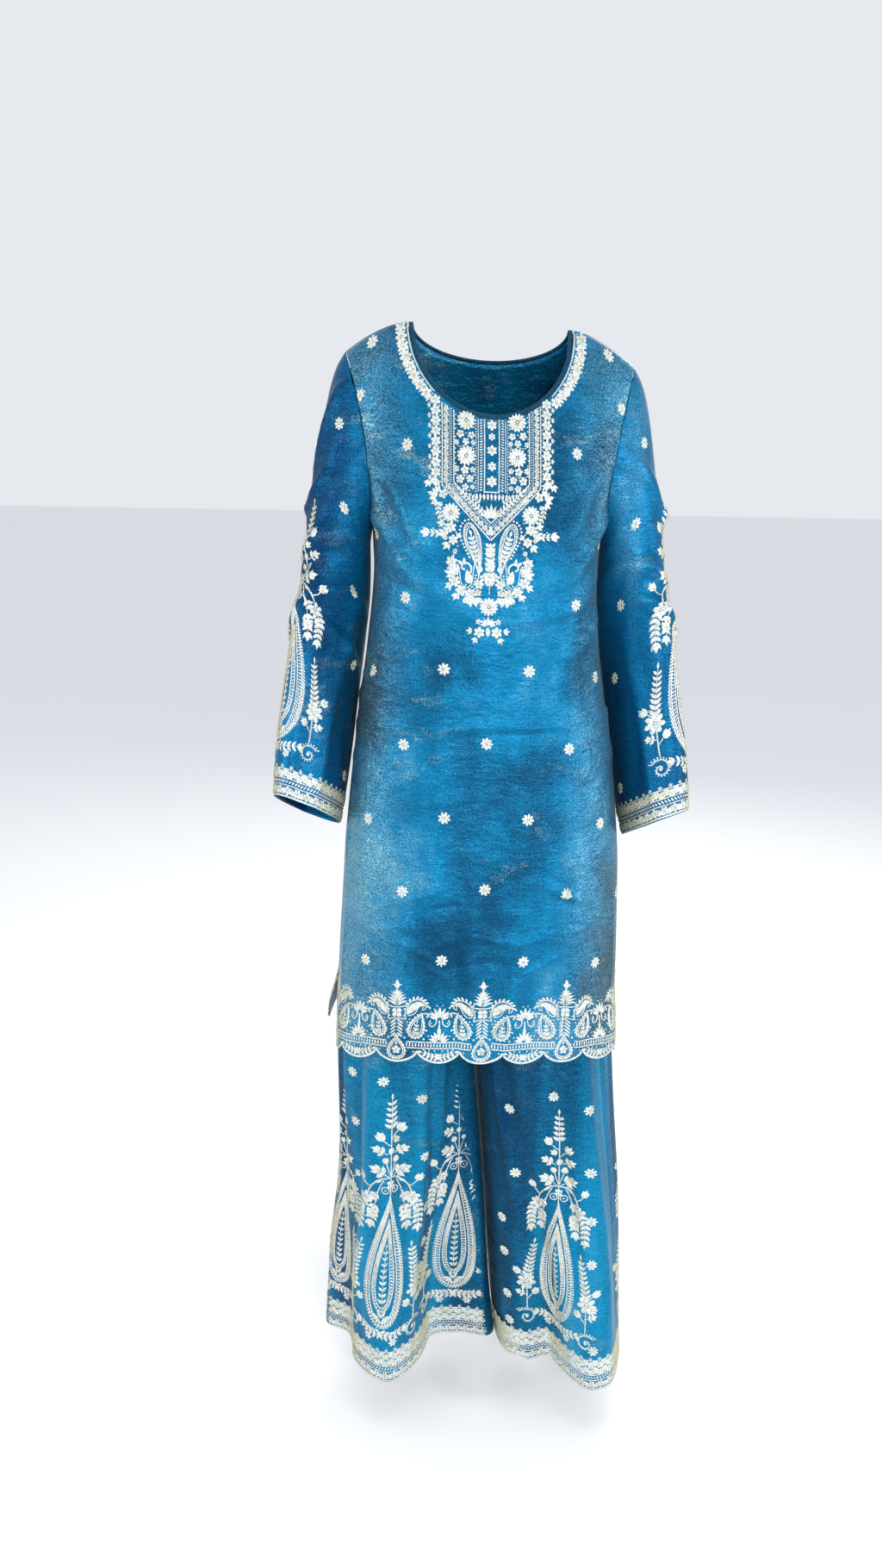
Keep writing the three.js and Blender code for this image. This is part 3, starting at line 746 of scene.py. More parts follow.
# the rings round both legs: half the width, the shift of the middle, how far the front and the back stand
# out, and where the legs part
SHARARA_RINGS = table(
    "z half shift front back part",
    (WAIST_Z, 124, 0, 92, 78, 0),
    (-540, 148, 0, 100, 88, 0),
    (HIP_Z, 160, 0, 104, 96, 0),
    (-670, 169, 0, 108, 102, 0),
    (CROTCH_Z, 174, 0, 110, 103, 0),
    (-860, 181, 0, 108, 104, 0),
    (-950, 188, 1, 104, 106, 0),
    (-1030, 192, 4, 102, 108, 7),
    (-1165, 200, 10, 100, 110, 20),
    (-1280, 211, 9, 100, 112, 29),
    (-1370, 217, 10, 100, 114, 37),
    (SHARARA_HEM_Z, 221, 11, 100, 115, 45),
)
# the folds at each hem: the turn round the leg, the place out and forward as shares of the leg's reach, and
# the lift of the edge
HEM_FOLDS = {
    LEFT: table(
        "turn out fore lift",
        (0, 1.0, -0.18, 0),
        (22, 0.72, 0.1, 4),
        (45, 0.62, 0.62, -4),
        (68, 0.27, 0.97, -8),
        (92, -0.08, 0.6, -2),
        (112, -0.24, 0.22, 8),
        (140, -0.58, 0.17, 10),
        (165, -0.9, 0.24, 10),
        (180, -0.99, -0.04, 8),
        (205, -0.77, -0.52, 0),
        (228, -0.43, -0.97, -4),
        (250, -0.18, -0.71, 4),
        (275, 0.18, -1.0, -4),
        (300, 0.42, -0.73, 3),
        (325, 0.75, -0.84, -4),
        (345, 0.95, -0.45, 0),
    ),
    RIGHT: table(
        "turn out fore lift",
        (0, 1.0, -0.1, 0),
        (20, 0.93, 0.52, -2),
        (42, 0.71, 1.06, -6),
        (62, 0.34, 1.18, -8),
        (82, 0.01, 0.88, -2),
        (100, -0.21, 0.62, 4),
        (130, -0.56, 0.66, 2),
        (155, -0.89, 0.44, 2),
        (180, -1.0, -0.07, 4),
        (205, -0.74, -0.54, 0),
        (228, -0.43, -0.9, -4),
        (252, -0.12, -0.68, 3),
        (278, 0.21, -1.0, -4),
        (305, 0.5, -0.71, 3),
        (335, 0.94, -0.6, -2),
    ),
}


def fold_at(folds, column, turn):
    """A column of the table of folds, on a smooth closed curve round the leg."""
    around = lambda row, whole: np.r_[row[-2:] - whole, row, row[:2] + whole]
    return smooth(around(folds["turn"], 360), around(folds[column], 0), turn % 360)


def leg_form(side, face):
    """A leg's form: turn runs from 0 at the side seam over the front (90) to the inseam (180) and on over
    the back, and height is measured from the hem."""

    def leg(turn, share):
        grown = ease(np.clip(share, 0, 1)) ** FOLD_GROWTH
        z = mix(CROTCH_Z, SHARARA_HEM_Z, share)
        swell = lambda value: np.sign(value) * np.abs(value) ** (2 / LEG_SQUARE)
        angle, folds = np.radians(turn), HEM_FOLDS[side]
        out = mix(swell(np.cos(angle)), fold_at(folds, "out", turn), grown)
        fore = mix(swell(np.sin(angle)), fold_at(folds, "fore", turn), grown)
        outer = at(SHARARA_RINGS, "shift", z) + side * at(SHARARA_RINGS, "half", z)
        inner = at(SHARARA_RINGS, "part", z) + side * LEG_GAP / 2
        reach = np.where(fore > 0, at(SHARARA_RINGS, "front", z), at(SHARARA_RINGS, "back", z))
        lifted = z + fold_at(folds, "lift", turn) * np.clip(share, 0, 1) ** 4
        return np.stack([mix(inner, outer, (1 + out) / 2), -fore * reach, lifted], axis=-1)

    def form(turn, height):
        share = 1 - height / (CROTCH_Z - SHARARA_HEM_Z)
        below = leg(turn, np.maximum(share, 0))
        z = np.maximum(mix(CROTCH_Z, SHARARA_HEM_Z, share), CROTCH_Z)
        quarter = np.radians(turn / 2 if face == FRONT else 180 - turn / 2)
        reach = at(SHARARA_RINGS, "front" if face == FRONT else "back", z)
        x = side * at(SHARARA_RINGS, "half", z) * np.cos(quarter)
        hip = np.stack([x, face * reach * np.sin(quarter), z], axis=-1)
        joined = ease(np.clip((HIP_Z - z) / (HIP_Z - CROTCH_Z), 0, 1))[..., None]
        crotch = leg(turn, np.zeros(turn.shape))
        crotch[..., 2] = z
        upper = mix(hip, crotch, joined)
        return np.where((share > 0)[..., None], below, upper)

    return form


def leg_piece(name, side, face, folds):
    """One panel of a leg, from the waistband to the hem."""
    turns = np.linspace(0, 180, LEG_COLUMNS + 1) + (0 if face == FRONT else 180)
    heights, start = np.linspace(LEG_LONG, 0, LEG_ROWS), 0 if face == FRONT else 360
    panel = Panel(leg_form(side, face), turns, heights, outward=-side, start=start, folds=folds)
    points, normals = panel.net.copy(), panel.normal
    near = points[..., 2] > CROTCH_Z - 1
    inset = (SEAM + CLOTH_THICK) / 2
    points[..., 0] = np.where(near, side * np.maximum(side * points[..., 0], inset), points[..., 0])
    parting = at(SHARARA_RINGS, "part", points[..., 2])
    beside = np.exp(-(((points[..., 0] - parting) / WRAP_WIDE) ** 2))
    beside = beside * ease(np.clip((CROTCH_Z - points[..., 2]) / WRAP_TALL, 0, 1))
    points[..., 0] -= LEGS_WRAP * np.tanh(points[..., 1] / WRAP_DEEP) * beside
    return panel, shell(name, points, normals, turned=side == RIGHT)


# the sharara's two blues, mixed in long streaks down the legs, are painted light and shade for its folds over
# the silk's own blue
SHARARA_BLUE_AND_PAINTED_SHADE, SHARARA_BLUE_AND_PAINTED_LIGHT = linear(0, 52, 88), linear(6, 140, 184)
sharara_silk = tissue_silk(
    "sharara_tissue_silk", SHARARA_BLUE_AND_PAINTED_SHADE, SHARARA_BLUE_AND_PAINTED_LIGHT, gilt=0.5, crumple_and_crest_sheen=0.6, fall=0.12, puckered=0.5
)
LEG_DRAPE = {
    (LEFT, FRONT): [
        # x, z, lean, long, wide, deep, bow
        (58, 430, 87, 300, 10, 6.8, 4),
        (84, 380, 88, 280, 7, -6.1, 3),
        (112, 400, 86, 330, 12, 7.2, 5),
        (152, 420, 90, 330, 9, -6.8, 4),
        (186, 380, 92, 320, 12, 7.2, 4),
        (214, 460, 91, 260, 8, 5.3, 4),
        (26, 420, 89, 300, 8, 5.7, 3),
    ],
    (RIGHT, FRONT): [
        (40, 420, 92, 300, 9, 6.5, 4),
        (76, 400, 91, 320, 8, -6.1, 4),
        (118, 380, 91, 330, 11, 7.2, 4),
        (160, 420, 90, 300, 9, -6.5, 4),
        (204, 400, 88, 320, 11, 6.8, 4),
        (248, 440, 88, 280, 9, 5.7, 4),
    ],
    (LEFT, BACK): [
        (-50, 430, 88, 320, 11, 6.8, 4),
        (-104, 400, 90, 330, 10, -6.5, 4),
        (-156, 420, 91, 330, 12, 7.2, 4),
        (-214, 400, 90, 300, 10, 6.1, 4),
    ],
    (RIGHT, BACK): [
        (-46, 420, 92, 320, 11, 6.8, 4),
        (-98, 410, 90, 330, 10, -6.5, 4),
        (-160, 400, 89, 330, 12, 7.2, 4),
        (-216, 420, 90, 300, 10, 6.1, 4),
    ],
}
LEG_NAMES = {
    (LEFT, FRONT): "sharara_left_front",
    (LEFT, BACK): "sharara_left_back",
    (RIGHT, FRONT): "sharara_right_front",
    (RIGHT, BACK): "sharara_right_back",
}
legs = {}
for (side, face), node in LEG_NAMES.items():
    drape = creases(*LEG_DRAPE[side, face])
    legs[side, face], leg = leg_piece(node + "_silk", side, face, [drape])
    sew(leg, sharara_silk, node)

# ---- Waistband ----
# A casing of the same silk on the sharara's top edge, folded over wide elastic and stitched down, so that it
# stands in small gathers. The kurta hides it.
BAND_WIDE, BAND_THICK, BAND_BULGE = 34, 2.6, 1.2
GATHERS, GATHER_DEEP = 64, 0.7


def waist_form(turn, height):
    """A ring on the sharara's own waist, gathered and rounded over the elastic."""
    front, back, half = (SHARARA_RINGS[column][0] for column in ("front", "back", "half"))
    gathered = GATHER_DEEP * np.cos(GATHERS * turn)
    reach = np.where(np.sin(turn) > 0, front, back) + gathered
    bulge = BAND_BULGE * np.sin(math.pi * height / BAND_WIDE)
    x, y = -(half + gathered + bulge) * np.cos(turn), -(reach + bulge) * np.sin(turn)
    return np.stack([x, y, WAIST_Z + 2 * SEAM + height], axis=-1)


waist = Panel(waist_form, np.linspace(0, 2 * math.pi, 6 * GATHERS + 1), np.linspace(BAND_WIDE, 0, 9))
waist.net[:, -1] = waist.net[:, 0]
waistband = shell("waistband_silk", waist.net, waist.normal, thick=BAND_THICK, closed=True)
sew(waistband, sharara_silk, "sharara_waistband")

# ---- Embroidery: how the thread work is made ----
# Ivory and pale gold thread, worked by hand and by machine on the stretched silk: cords are couched down,
# leaves and petals are satin stitched over a padding, and knots and small beads fill the rows.
THREAD_SINK = 0.3  # the thread's underside lies this deep in the cloth's face


def swung(across, up, turn):
    """Places turned to the left by an angle."""
    cos, sin = math.cos(math.radians(turn)), math.sin(math.radians(turn))
    return across * cos - up * sin, across * sin + up * cos


class Motif:
    """Thread work drawn flat, as triangles: each point is across, up, and raised from the cloth."""

    def __init__(self):
        self.points, self.faces, self.count = [], [], 0

    def add(self, points, faces):
        """More points, and triangles that count from the first of them."""
        self.points.append(np.asarray(points, float))
        self.faces.append(np.asarray(faces) + self.count)
        self.count += len(points)

    def joined(self):
        """All of its points and its triangles."""
        return np.concatenate(self.points), np.concatenate(self.faces)

    def put(self, other, x=0.0, z=0.0, turn=0.0, size=1.0, flip=False):
        """A copy of a smaller motif, turned to the left by an angle and mirrored if it is flipped."""
        points, faces = other.joined()
        across, up = swung(points[:, 0] * size * (-1 if flip else 1), points[:, 1] * size, turn)
        placed = np.stack([x + across, z + up, points[:, 2] * size**0.5], axis=1)
        self.add(placed, faces[:, ::-1] if flip else faces)

    def hung(self, level, low, high):
        """The same work shifted up, point by point, to follow an edge, without what is past its ends."""
        points, faces = self.joined()
        inside = (points[:, 0] > low) & (points[:, 0] < high)
        points[:, 1] += level(points[:, 0])
        kept = Motif()
        kept.add(points, faces[inside[faces].all(axis=1)])
        return kept

    def mirrored(self, half):
        """Two copies, one on each side of the middle."""
        self.put(half)
        self.put(half, flip=True)

    def padded(self, rim, x, z, high):
        """Thread that rises from its rim, in the cloth, to one point."""
        n, i = len(rim), np.arange(len(rim))
        points = np.concatenate([np.c_[rim, np.full(n, -THREAD_SINK)], [[x, z, high]]])
        self.add(points, np.stack([i, (i + 1) % n, 0 * i + n], axis=1))

    def knot(self, x, z, wide, high=1.1):
        """A round knot or bead."""
        self.padded(ring(x, z, wide / 2, end=300, steps=6), x, z, high)

    def stitch(self, start, end, wide, high=1.0):
        """A plump satin stitch between two points."""
        start, end = np.array(start, float), np.array(end, float)
        middle, run = (start + end) / 2, end - start
        beside = np.array([-run[1], run[0]]) / max(np.hypot(*run), 1e-9) * wide / 2
        right = [start - 0.6 * beside, middle - beside, end - 0.6 * beside]
        left = [end + 0.6 * beside, middle + beside, start + 0.6 * beside]
        self.padded(np.array(right + left), *middle, high)

    def ridge(self, across, up, raised):
        """Thread raised along its middle. Across and up have three rows: an edge, the middle, an edge."""
        n = len(raised)
        low = np.full(n, -THREAD_SINK)
        points = np.stack([across, up, [low, raised, low]], axis=-1).reshape(-1, 3)
        i = np.r_[: n - 1, n : 2 * n - 1]
        faces = [np.stack([i, i + n, i + n + 1], axis=1), np.stack([i, i + n + 1, i + 1], axis=1)]
        self.add(points, np.concatenate(faces))

    def leaf(self, x, z, long, wide, turn=0.0, high=1.1, bend=0.0, blunt=False):
        """A padded leaf from its foot, which grows up when turn is 0 and leans left as turn rises. A blunt
        one is a petal."""
        # from the foot to the tip: the share of the length, half the width there, and how high it is raised
        share = np.array([0.0, 0.38, 0.8, 1.0] if blunt else [0.0, 0.3, 0.66, 1.0])
        half = np.array([0.2, 0.5, 0.46, 0.12] if blunt else [0.16, 0.62, 0.5, 0.04]) * wide
        raised = np.array([0.45, 1.0, 0.85, 0.3]) * high
        bowed = bend * 4 * share * (1 - share)
        across, up = swung(np.array([bowed - half, bowed, bowed + half]), share * long, turn)
        self.ridge(x + across, z + up, raised)

    def cord(self, route, wide, high, each=2.6):
        """A cord couched down along a route."""
        route = walk(route, each)
        ahead = np.gradient(route, axis=0)
        ahead /= np.maximum(np.hypot(*ahead.T), 1e-9)[:, None]
        beside = np.stack([-ahead[:, 1], ahead[:, 0]], axis=1) * wide / 2
        lines = np.array([route + beside, route, route - beside])
        self.ridge(lines[..., 0], lines[..., 1], np.full(len(route), high))

    def knots(self, route, pitch, wide):
        """A row of knots or beads along a route."""
        for x, z in walk(route, pitch):
            self.knot(x, z, wide)

    def rungs(self, outer, inner, pitch, wide, skew=0, high=1.0):
        """A row of stitches from one route to another, each slanted by some of their spaces."""
        count = len(walk(outer, pitch))
        outside, inside = paced(outer, count), paced(inner, count)
        for a, b in zip(outside[: count - skew], inside[skew:]):
            self.stitch(mix(a, b, 0.1), mix(a, b, 0.9), wide, high)


def paced(route, count):
    """Evenly spaced points along a route."""
    route = np.asarray(route, float)
    along = walked(route)
    steps = np.linspace(0, along[-1], count)
    return np.stack([np.interp(steps, along, route[:, k]) for k in (0, 1)], axis=1)


def walk(route, pitch):
    """Points along a route, evenly spaced at about this pitch."""
    return paced(route, max(2, round(walked(route)[-1] / pitch) + 1))


def ring(x, z, radius, end=360.0, steps=20):
    """Points round a circle, up to an end angle."""
    turn = np.radians(np.linspace(0, end, steps))
    return np.stack([x + radius * np.cos(turn), z + radius * np.sin(turn)], axis=1)


def polar(reach, turn):
    """A point this far out, straight up when turn is 0, and round to the left as it rises."""
    return swung(0, reach, turn)


def drop(wide, tall, lean=0.0, x=0.0, z=0.0, *, sharp):
    """The outline of a paisley or a teardrop, from its tip round and back, standing on its round end."""
    turn = np.linspace(0, 2 * math.pi, 72)
    up = (1 + np.cos(turn)) / 2
    swell = np.sin(turn) * np.sin(turn / 2) ** sharp
    across = wide / 2 * swell / swell.max()
    return np.stack([x + across + lean * up**2.2, z + tall * up], axis=1)


def flower(wide, petals, long=0.41, close=2.2, high=1.3, heart=0.22):
    """Padded petals round a knot. How long and close they are, and the heart, are shares of its width."""
    made = Motif()
    for i in range(petals):
        turn = 360 * i / petals
        made.leaf(*polar(wide * 0.1, turn), wide * long, wide * close / petals, turn, high, blunt=True)
    made.knot(0, 0, wide * heart, 1.8)
    return made


def rosette(wide):
    """A wheel of close petals round a small knot."""
    return flower(wide, 14, 0.4, 2.75, 1.4, 0.16)


def trefoil(long, spread=42, wide=0.42):
    """A bud of three petals on its stem's tip."""
    made = Motif()
    for turn, part in ((-spread, 0.85), (spread, 0.85), (0, 1.0)):
        made.leaf(0, 0, long * part, long * wide * part, turn, 1.1)
    return made


def lobed(long):
    """A leaf of five lobes on its stalk."""
    made = Motif()
    made.cord([(0, 0), (0, long * 0.6)], 1.7, 1.0)
    for foot, spread, part in ((0.28, 62, 0.42), (0.5, 40, 0.4)):
        for turn in (-spread, spread):
            made.leaf(0, long * foot, long * part, long * part * 0.6, turn, 1.1)
    made.leaf(0, long * 0.55, long * 0.45, long * 0.45 * 0.6, 0, 1.1)
    return made


def bud(long):
    """A very small bud, of three stitches."""
    made = Motif()
    for turn, part in ((-34, 0.85), (34, 0.85), (0, 1.0)):
        made.stitch(polar(long * 0.1, turn), polar(long * part, turn), long * 0.36)
    return made


def sprig(route, pitch, long, wide, spread, taper=0.4, tip=0.0, skip=0):
    """A stem with leaves in pairs that grow smaller along it, and a bud at its tip."""
    made = Motif()
    made.cord(route, 1.4, 0.9, each=4)
    steps = walk(route, pitch)
    ahead = np.gradient(steps, axis=0)
    headings = np.degrees(np.arctan2(-ahead[:, 0], ahead[:, 1]))
    for i in range(skip, len(steps) - 1):
        size = 1 - taper * i / len(steps)
        for side in (-1, 1):
            made.leaf(*steps[i], long * size, wide * size, headings[i] + side * spread)
    if tip:
        made.put(trefoil(tip, 36, 0.5), *steps[-1], headings[-1])
    else:
        made.leaf(*steps[-1], long * (1 - taper) * 1.2, wide * (1 - taper), headings[-1])
    return made


def spray(tall, pairs, long, wide, spread, taper=0.45):
    """An upright stem with leaves in pairs, which grow smaller towards its tip."""
    route = [(0, 0), (0, tall * 0.88)]
    return sprig(route, tall * 0.88 / pairs, long, wide, spread, taper)


def scroll(wide):
    """A curl with a bead at its heart and a fringe of short stitches outside."""
    made = Motif()
    turn = np.linspace(0, 2.8 * math.pi, 22)
    reach = wide / 2 * (0.12 + 0.88 * turn / turn[-1])
    curl = np.stack([reach * np.cos(turn), reach * np.sin(turn)], axis=1)
    made.cord(curl * 0.8, 2.2, 1.1)
    made.rungs(curl[6:] * 0.82, curl[6:] * 1.12, 3.6, 2.7)
    made.knot(0, 0, wide * 0.2, 1.2)
    return made


def thread_finish(name, pale, gold_and_side_shade):
    """Twisted thread with its fine beads: pale, tinged with gold in random places, and painted a darker gold
    on its sides that face left and right, as painted shade. The blue of the silk shows a little between the
    beads."""
    material, place, surface = finish(name)
    twist, lay = place.noise(900, detail=1.0), place.noise(60)
    bead = place.node("TexVoronoi", {}, {"Vector": place, "Scale": 720, "Randomness": 0.85})
    gap = bead.step(0.42, 0.66)
    # painted shade: the thread's sides that face left and right turn a darker gold, by the way they face
    aside = place.node("SeparateXYZ", {}, {0: place.node("NewGeometry", out="Normal")})
    gold_and_painted_shade = (lay * 0.5 + twist * 0.5).step(0.48, 0.68) * 0.8 + (aside * aside).step(0.35, 0.75)
    thread = gold_and_painted_shade.step(0, 1).blend(pale, gold_and_side_shade)
    use(place, surface, Base_Color=(gap * 0.6).blend(thread, linear(70, 104, 112)))
    use(place, surface, Metallic=0.2, Roughness=0.45)
    high = 1.0 - bead * 1.2 + twist * 0.3
    use(place, surface, Normal=high.bump(0.6, 0.0009), Sheen_Weight=0.1, Sheen_Roughness=0.3)
    return material


ivory_thread = thread_finish("ivory_thread", linear(230, 232, 224), linear(204, 198, 160))


def embroider(name, panel, *works):
    """Works motifs into a panel's cloth as one piece. Each may follow a column of the cloth, by its turn."""
    placed, faces, count = [], [], 0
    for motif, along in works:
        points, corners = motif.joined()
        placed.append(panel.lay(points[:, 0], points[:, 1], CLOTH_THICK / 2 + points[:, 2], along))
        faces.append(corners + count)
        count += len(points)
    faces = np.concatenate(faces)
    made = make_piece(name, np.concatenate(placed), faces if panel.outward > 0 else faces[:, ::-1])
    sew(made, ivory_thread)


# ---- Embroidery of the kurta ----
# The neck edge carries a row of flowers, which widens at the front into a panelled yoke with a false button
# placket. Small flowers are powdered over the body in a half drop, and a paisley border follows the scallops.
MIDDLE = -3  # the yoke is worked a little off the middle of the front
YOKE_OUTER, YOKE_INNER, YOKE_CORNER_Z, YOKE_POINT_Z, YOKE_POINT_WIDE = 58.5, 44.5, -188, -249, 19.5
PLACKET_HALF, PLACKET_END_Z = 8.6, -194
NECK_FLOWER, NECK_FLOWER_PITCH = 14, 12.5
BUTI, BUTI_COLUMN, BUTI_ROW = 15.5, 104, 93


def under_neck(x, below=1.5):
    """The height just under the piping, this far from the middle."""
    deep, half = FRONT_NECK_DEEP + PIPING_WIDE + below, NECK_HALF + PIPING_WIDE + below
    return -deep * math.sqrt(1 - min(1, ((x + MIDDLE) / half) ** 2))


def dotted(made, wide, *places):
    """Knots of one width."""
    for x, z in places:
        made.knot(x, z, wide)


def flowered(made, *places):
    """Small flowers, each with its place and width."""
    for x, z, wide in places:
        made.put(flower(wide, 5 if wide < 12 else 6), x, z, 7 * x + 5 * z)


def budded(made, *places):
    """Buds, each with its place, length and turn."""
    for x, z, long, turn in places:
        made.put(trefoil(long, 40, 0.46), x, z, turn)


def yoke_frame(made):
    """Half of the frame: two cords that run down and meet in a point, with bars, flowers and beads within."""
    outer_top, inner_top = under_neck(YOKE_OUTER, 2), under_neck(YOKE_INNER, 2)
    inner_corner, inner_point = YOKE_CORNER_Z + 4, YOKE_POINT_Z + YOKE_POINT_WIDE
    outer = [(-YOKE_OUTER, outer_top), (-YOKE_OUTER, YOKE_CORNER_Z), (0, YOKE_POINT_Z)]
    inner = [(-YOKE_INNER, inner_top), (-YOKE_INNER, inner_corner), (0, inner_point)]
    for k in (0, 1):
        outside, inside = np.array(outer[k : k + 2]), np.array(inner[k : k + 2])
        made.cord(outside, 2.0, 1.2)
        made.cord(inside, 1.8, 1.1)
        made.knots(mix(outside, inside, 0.8), 2.9, 2.1)
        made.cord(mix(outside, inside, 0.66), 1.0, 0.8)
        count = len(walk(outside, 3.9)) | 1
        for i, (a, b) in enumerate(zip(paced(outside, count), paced(inside, count))):
            if i % 2:
                made.put(flower(6.8, 5), *mix(a, b, 0.34), 40 * i)
            else:
                made.stitch(mix(a, b, 0.06), mix(a, b, 0.62), 1.4)


def tall_paisley(made):
    """The left tall paisley of the yoke, with its round head above and its tail down beside the middle."""
    outside = bend(
        (-18, -299), (-13, -291), (-19, -273), (-30, -252), (-31, -235), (-24, -230), (-13.5, -244),
        (-10.5, -268), (-13, -291),
    )
    inside = bend(
        (-13.5, -284), (-19.5, -268), (-28, -250), (-27, -236.5), (-21, -236.5), (-14.5, -256), (-13.5, -279),
    )
    made.cord(outside, 1.9, 1.1)
    made.cord(inside, 1.4, 0.9)
    made.rungs(outside[5:], inside, 3.2, 2.2, skew=1)
    halo = bend((-22.5, -225.5), (-30.5, -227.5), (-36, -236), (-35.5, -247.5), (-30, -258.5), (-24.5, -269))
    made.knots(halo, 4.3, 3.5)
    made.put(sprig(bend((-14.5, -274), (-18.5, -261), (-23, -244)), 5.4, 6.4, 3.6, 46, 0.05))


def comma_paisley():
    """A small solid paisley with a curled tip, from its foot up."""
    made = Motif()
    made.padded(drop(11.5, 22, -4, x=1, sharp=1.0), 1.5, 8, 1.4)
    made.cord(bend((3.4, 15), (3.6, 22), (-1, 27), (-7.5, 26), (-8.5, 20.5), (-4.5, 18.5)), 3.0, 1.3)
    return made


def yoke():
    """The panel below the neck, worked in halves that mirror each other."""
    half = Motif()
    # the flower column beside the frame
    for i in range(8):
        half.put(flower(13, 6), -66.5, -92 - 11.7 * i, 17 * i)
        half.put(bud(6), -71.5, -98 - 11.7 * i, 90)
        half.knot(-61, -98 - 11.7 * i, 2.4)
    budded(half, (-70, -180, 11, 200), (-75, -184, 9, 150), (-66, -184, 8, 220))
    yoke_frame(half)
    # the placket's edge and the buds under it
    top = under_neck(PLACKET_HALF)
    half.cord([(-PLACKET_HALF, top), (-PLACKET_HALF, PLACKET_END_Z)], 1.8, 1.1)
    half.cord([(-PLACKET_HALF - 0.8, PLACKET_END_Z), (0, PLACKET_END_Z)], 1.8, 1.1)
    ladder = [[(-10, top), (-10, PLACKET_END_Z)], [(-15, top + 1), (-15, PLACKET_END_Z + 1)]]
    half.rungs(*ladder, 3.0, 2.0, skew=1)
    half.cord([(-16, top), (-16, PLACKET_END_Z)], 1.2, 0.9)
    half.knots([(-18.5, top - 2), (-18.5, PLACKET_END_Z)], 3.1, 2.2)
    for x in (-17.5, -13, -8.8, -4.4):
        half.leaf(x, PLACKET_END_Z - 2, 8, 3.0, 180)
    # wheels, flowers and beads in the field between the placket and the frame
    for z in (-114, -154):
        half.put(rosette(22.5), -30, z, 15)
    flowered(
        half, (-24, -130.5, 8.5), (-37, -129.5, 9.5), (-30.5, -138, 8.5), (-41.5, -139, 6.5), (-22, -139, 6),
        (-31.5, -170, 10), (-41.5, -169, 7.5), (-22.5, -169.5, 7), (-25.5, -180, 9), (-37, -180.5, 10),
        (-31, -189.5, 8.5), (-22.5, -189, 6),
    )
    dotted(
        half, 2.4, (-42.5, -108), (-43, -113), (-42.5, -119), (-21, -122), (-42.5, -124), (-30.5, -128.5),
        (-43, -133), (-43, -146), (-43, -151), (-43, -157), (-42.5, -163), (-21.5, -146), (-21, -162),
        (-27, -163), (-36, -163), (-32, -177), (-43, -175), (-20.5, -175), (-43, -187), (-37.5, -190),
        (-20.5, -184), (-26, -193),
    )
    for z in (-143, -176):
        half.cord(bend((-43, z + 2), (-37, z - 1), (-31, z + 1), (-25, z - 2), (-20.5, z + 1)), 1.0, 0.8)
    half.put(sprig(bend((-8, -220), (-20, -208), (-37, -193)), 5.2, 6.4, 2.9, 50, 0.15))
    half.put(sprig(bend((-14, -206), (-20, -200), (-28, -197)), 4, 4.6, 2.2, 46))
    # outside the point: a wheel, leafy arms and the paisleys
    half.put(rosette(22.5), -47.5, -219, 8)
    flowered(
        half, (-57, -198, 11), (-40, -202.5, 7), (-47, -235.5, 13), (-44, -250, 12), (-60, -210, 6),
        (-53.5, -248, 6), (-41.5, -263, 6),
    )
    budded(
        half, (-64.5, -201, 13, 70), (-62.5, -196, 9, 30), (-64.5, -206, 9, 120), (-54, -241, 10, 120),
        (-49.5, -254, 10, 140), (-55.5, -232, 9, 80), (-38.5, -247, 7, -30),
    )
    half.put(sprig(bend((-62.5, -208), (-62, -220), (-55.5, -231)), 4.6, 6, 2.8, 46, 0.1))
    half.put(sprig(bend((-50.5, -239), (-61, -243), (-73, -243)), 5.2, 7.5, 3.6, 46, 0.25, tip=11))
    half.cord(bend((-41, -262), (-44.5, -270), (-47, -276)), 1.1, 0.8)
    dotted(
        half, 2.6, (-57.5, -218), (-36, -212), (-39, -228), (-41, -241), (-38.5, -257), (-43.5, -268),
        (-68, -238),
    )
    tall_paisley(half)
    half.put(comma_paisley(), -25.5, -301, size=0.92)
    hook = bend(
        (-18.5, -276.5), (-20, -290), (-21.5, -300), (-28, -305.5), (-34, -299), (-35.5, -288.5),
        (-36.5, -281),
    )
    half.cord(hook, 1.5, 1.0)
    half.knots(bend((-16.5, -290), (-18, -299), (-23, -306.5)), 3.8, 3.0)
    half.leaf(-30, -278, 9, 4.2, 6)
    half.leaf(-32.5, -278, 8, 3.8, 50)
    flowered(
        half, (-45.5, -275, 13.5), (-41.5, -298, 14), (-33.5, -308.5, 14), (-22.5, -312, 12.5),
        (-12.5, -300.5, 12), (-6.9, -292.5, 10), (-13.5, -310.5, 9), (-40.5, -287.5, 8),
    )
    budded(
        half, (-43, -290, 12, 70), (-40, -287, 11, 20), (-45.5, -302, 9, 120), (-38, -312.5, 9, 150),
        (-27.5, -316, 9, 190), (-21.5, -314.5, 14, 176), (-18, -316.5, 12, 196), (-9.4, -284.5, 8, 60),
        (-10, -316.5, 9, 150), (-44, -282, 8, 100),
    )
    dotted(
        half, 2.9, (-38.5, -279), (-48, -287.5), (-47.5, -295), (-8.6, -300), (-28, -301.5), (-17.5, -306),
        (-28, -314.5), (-11, -321.5), (-37.5, -293.5),
    )
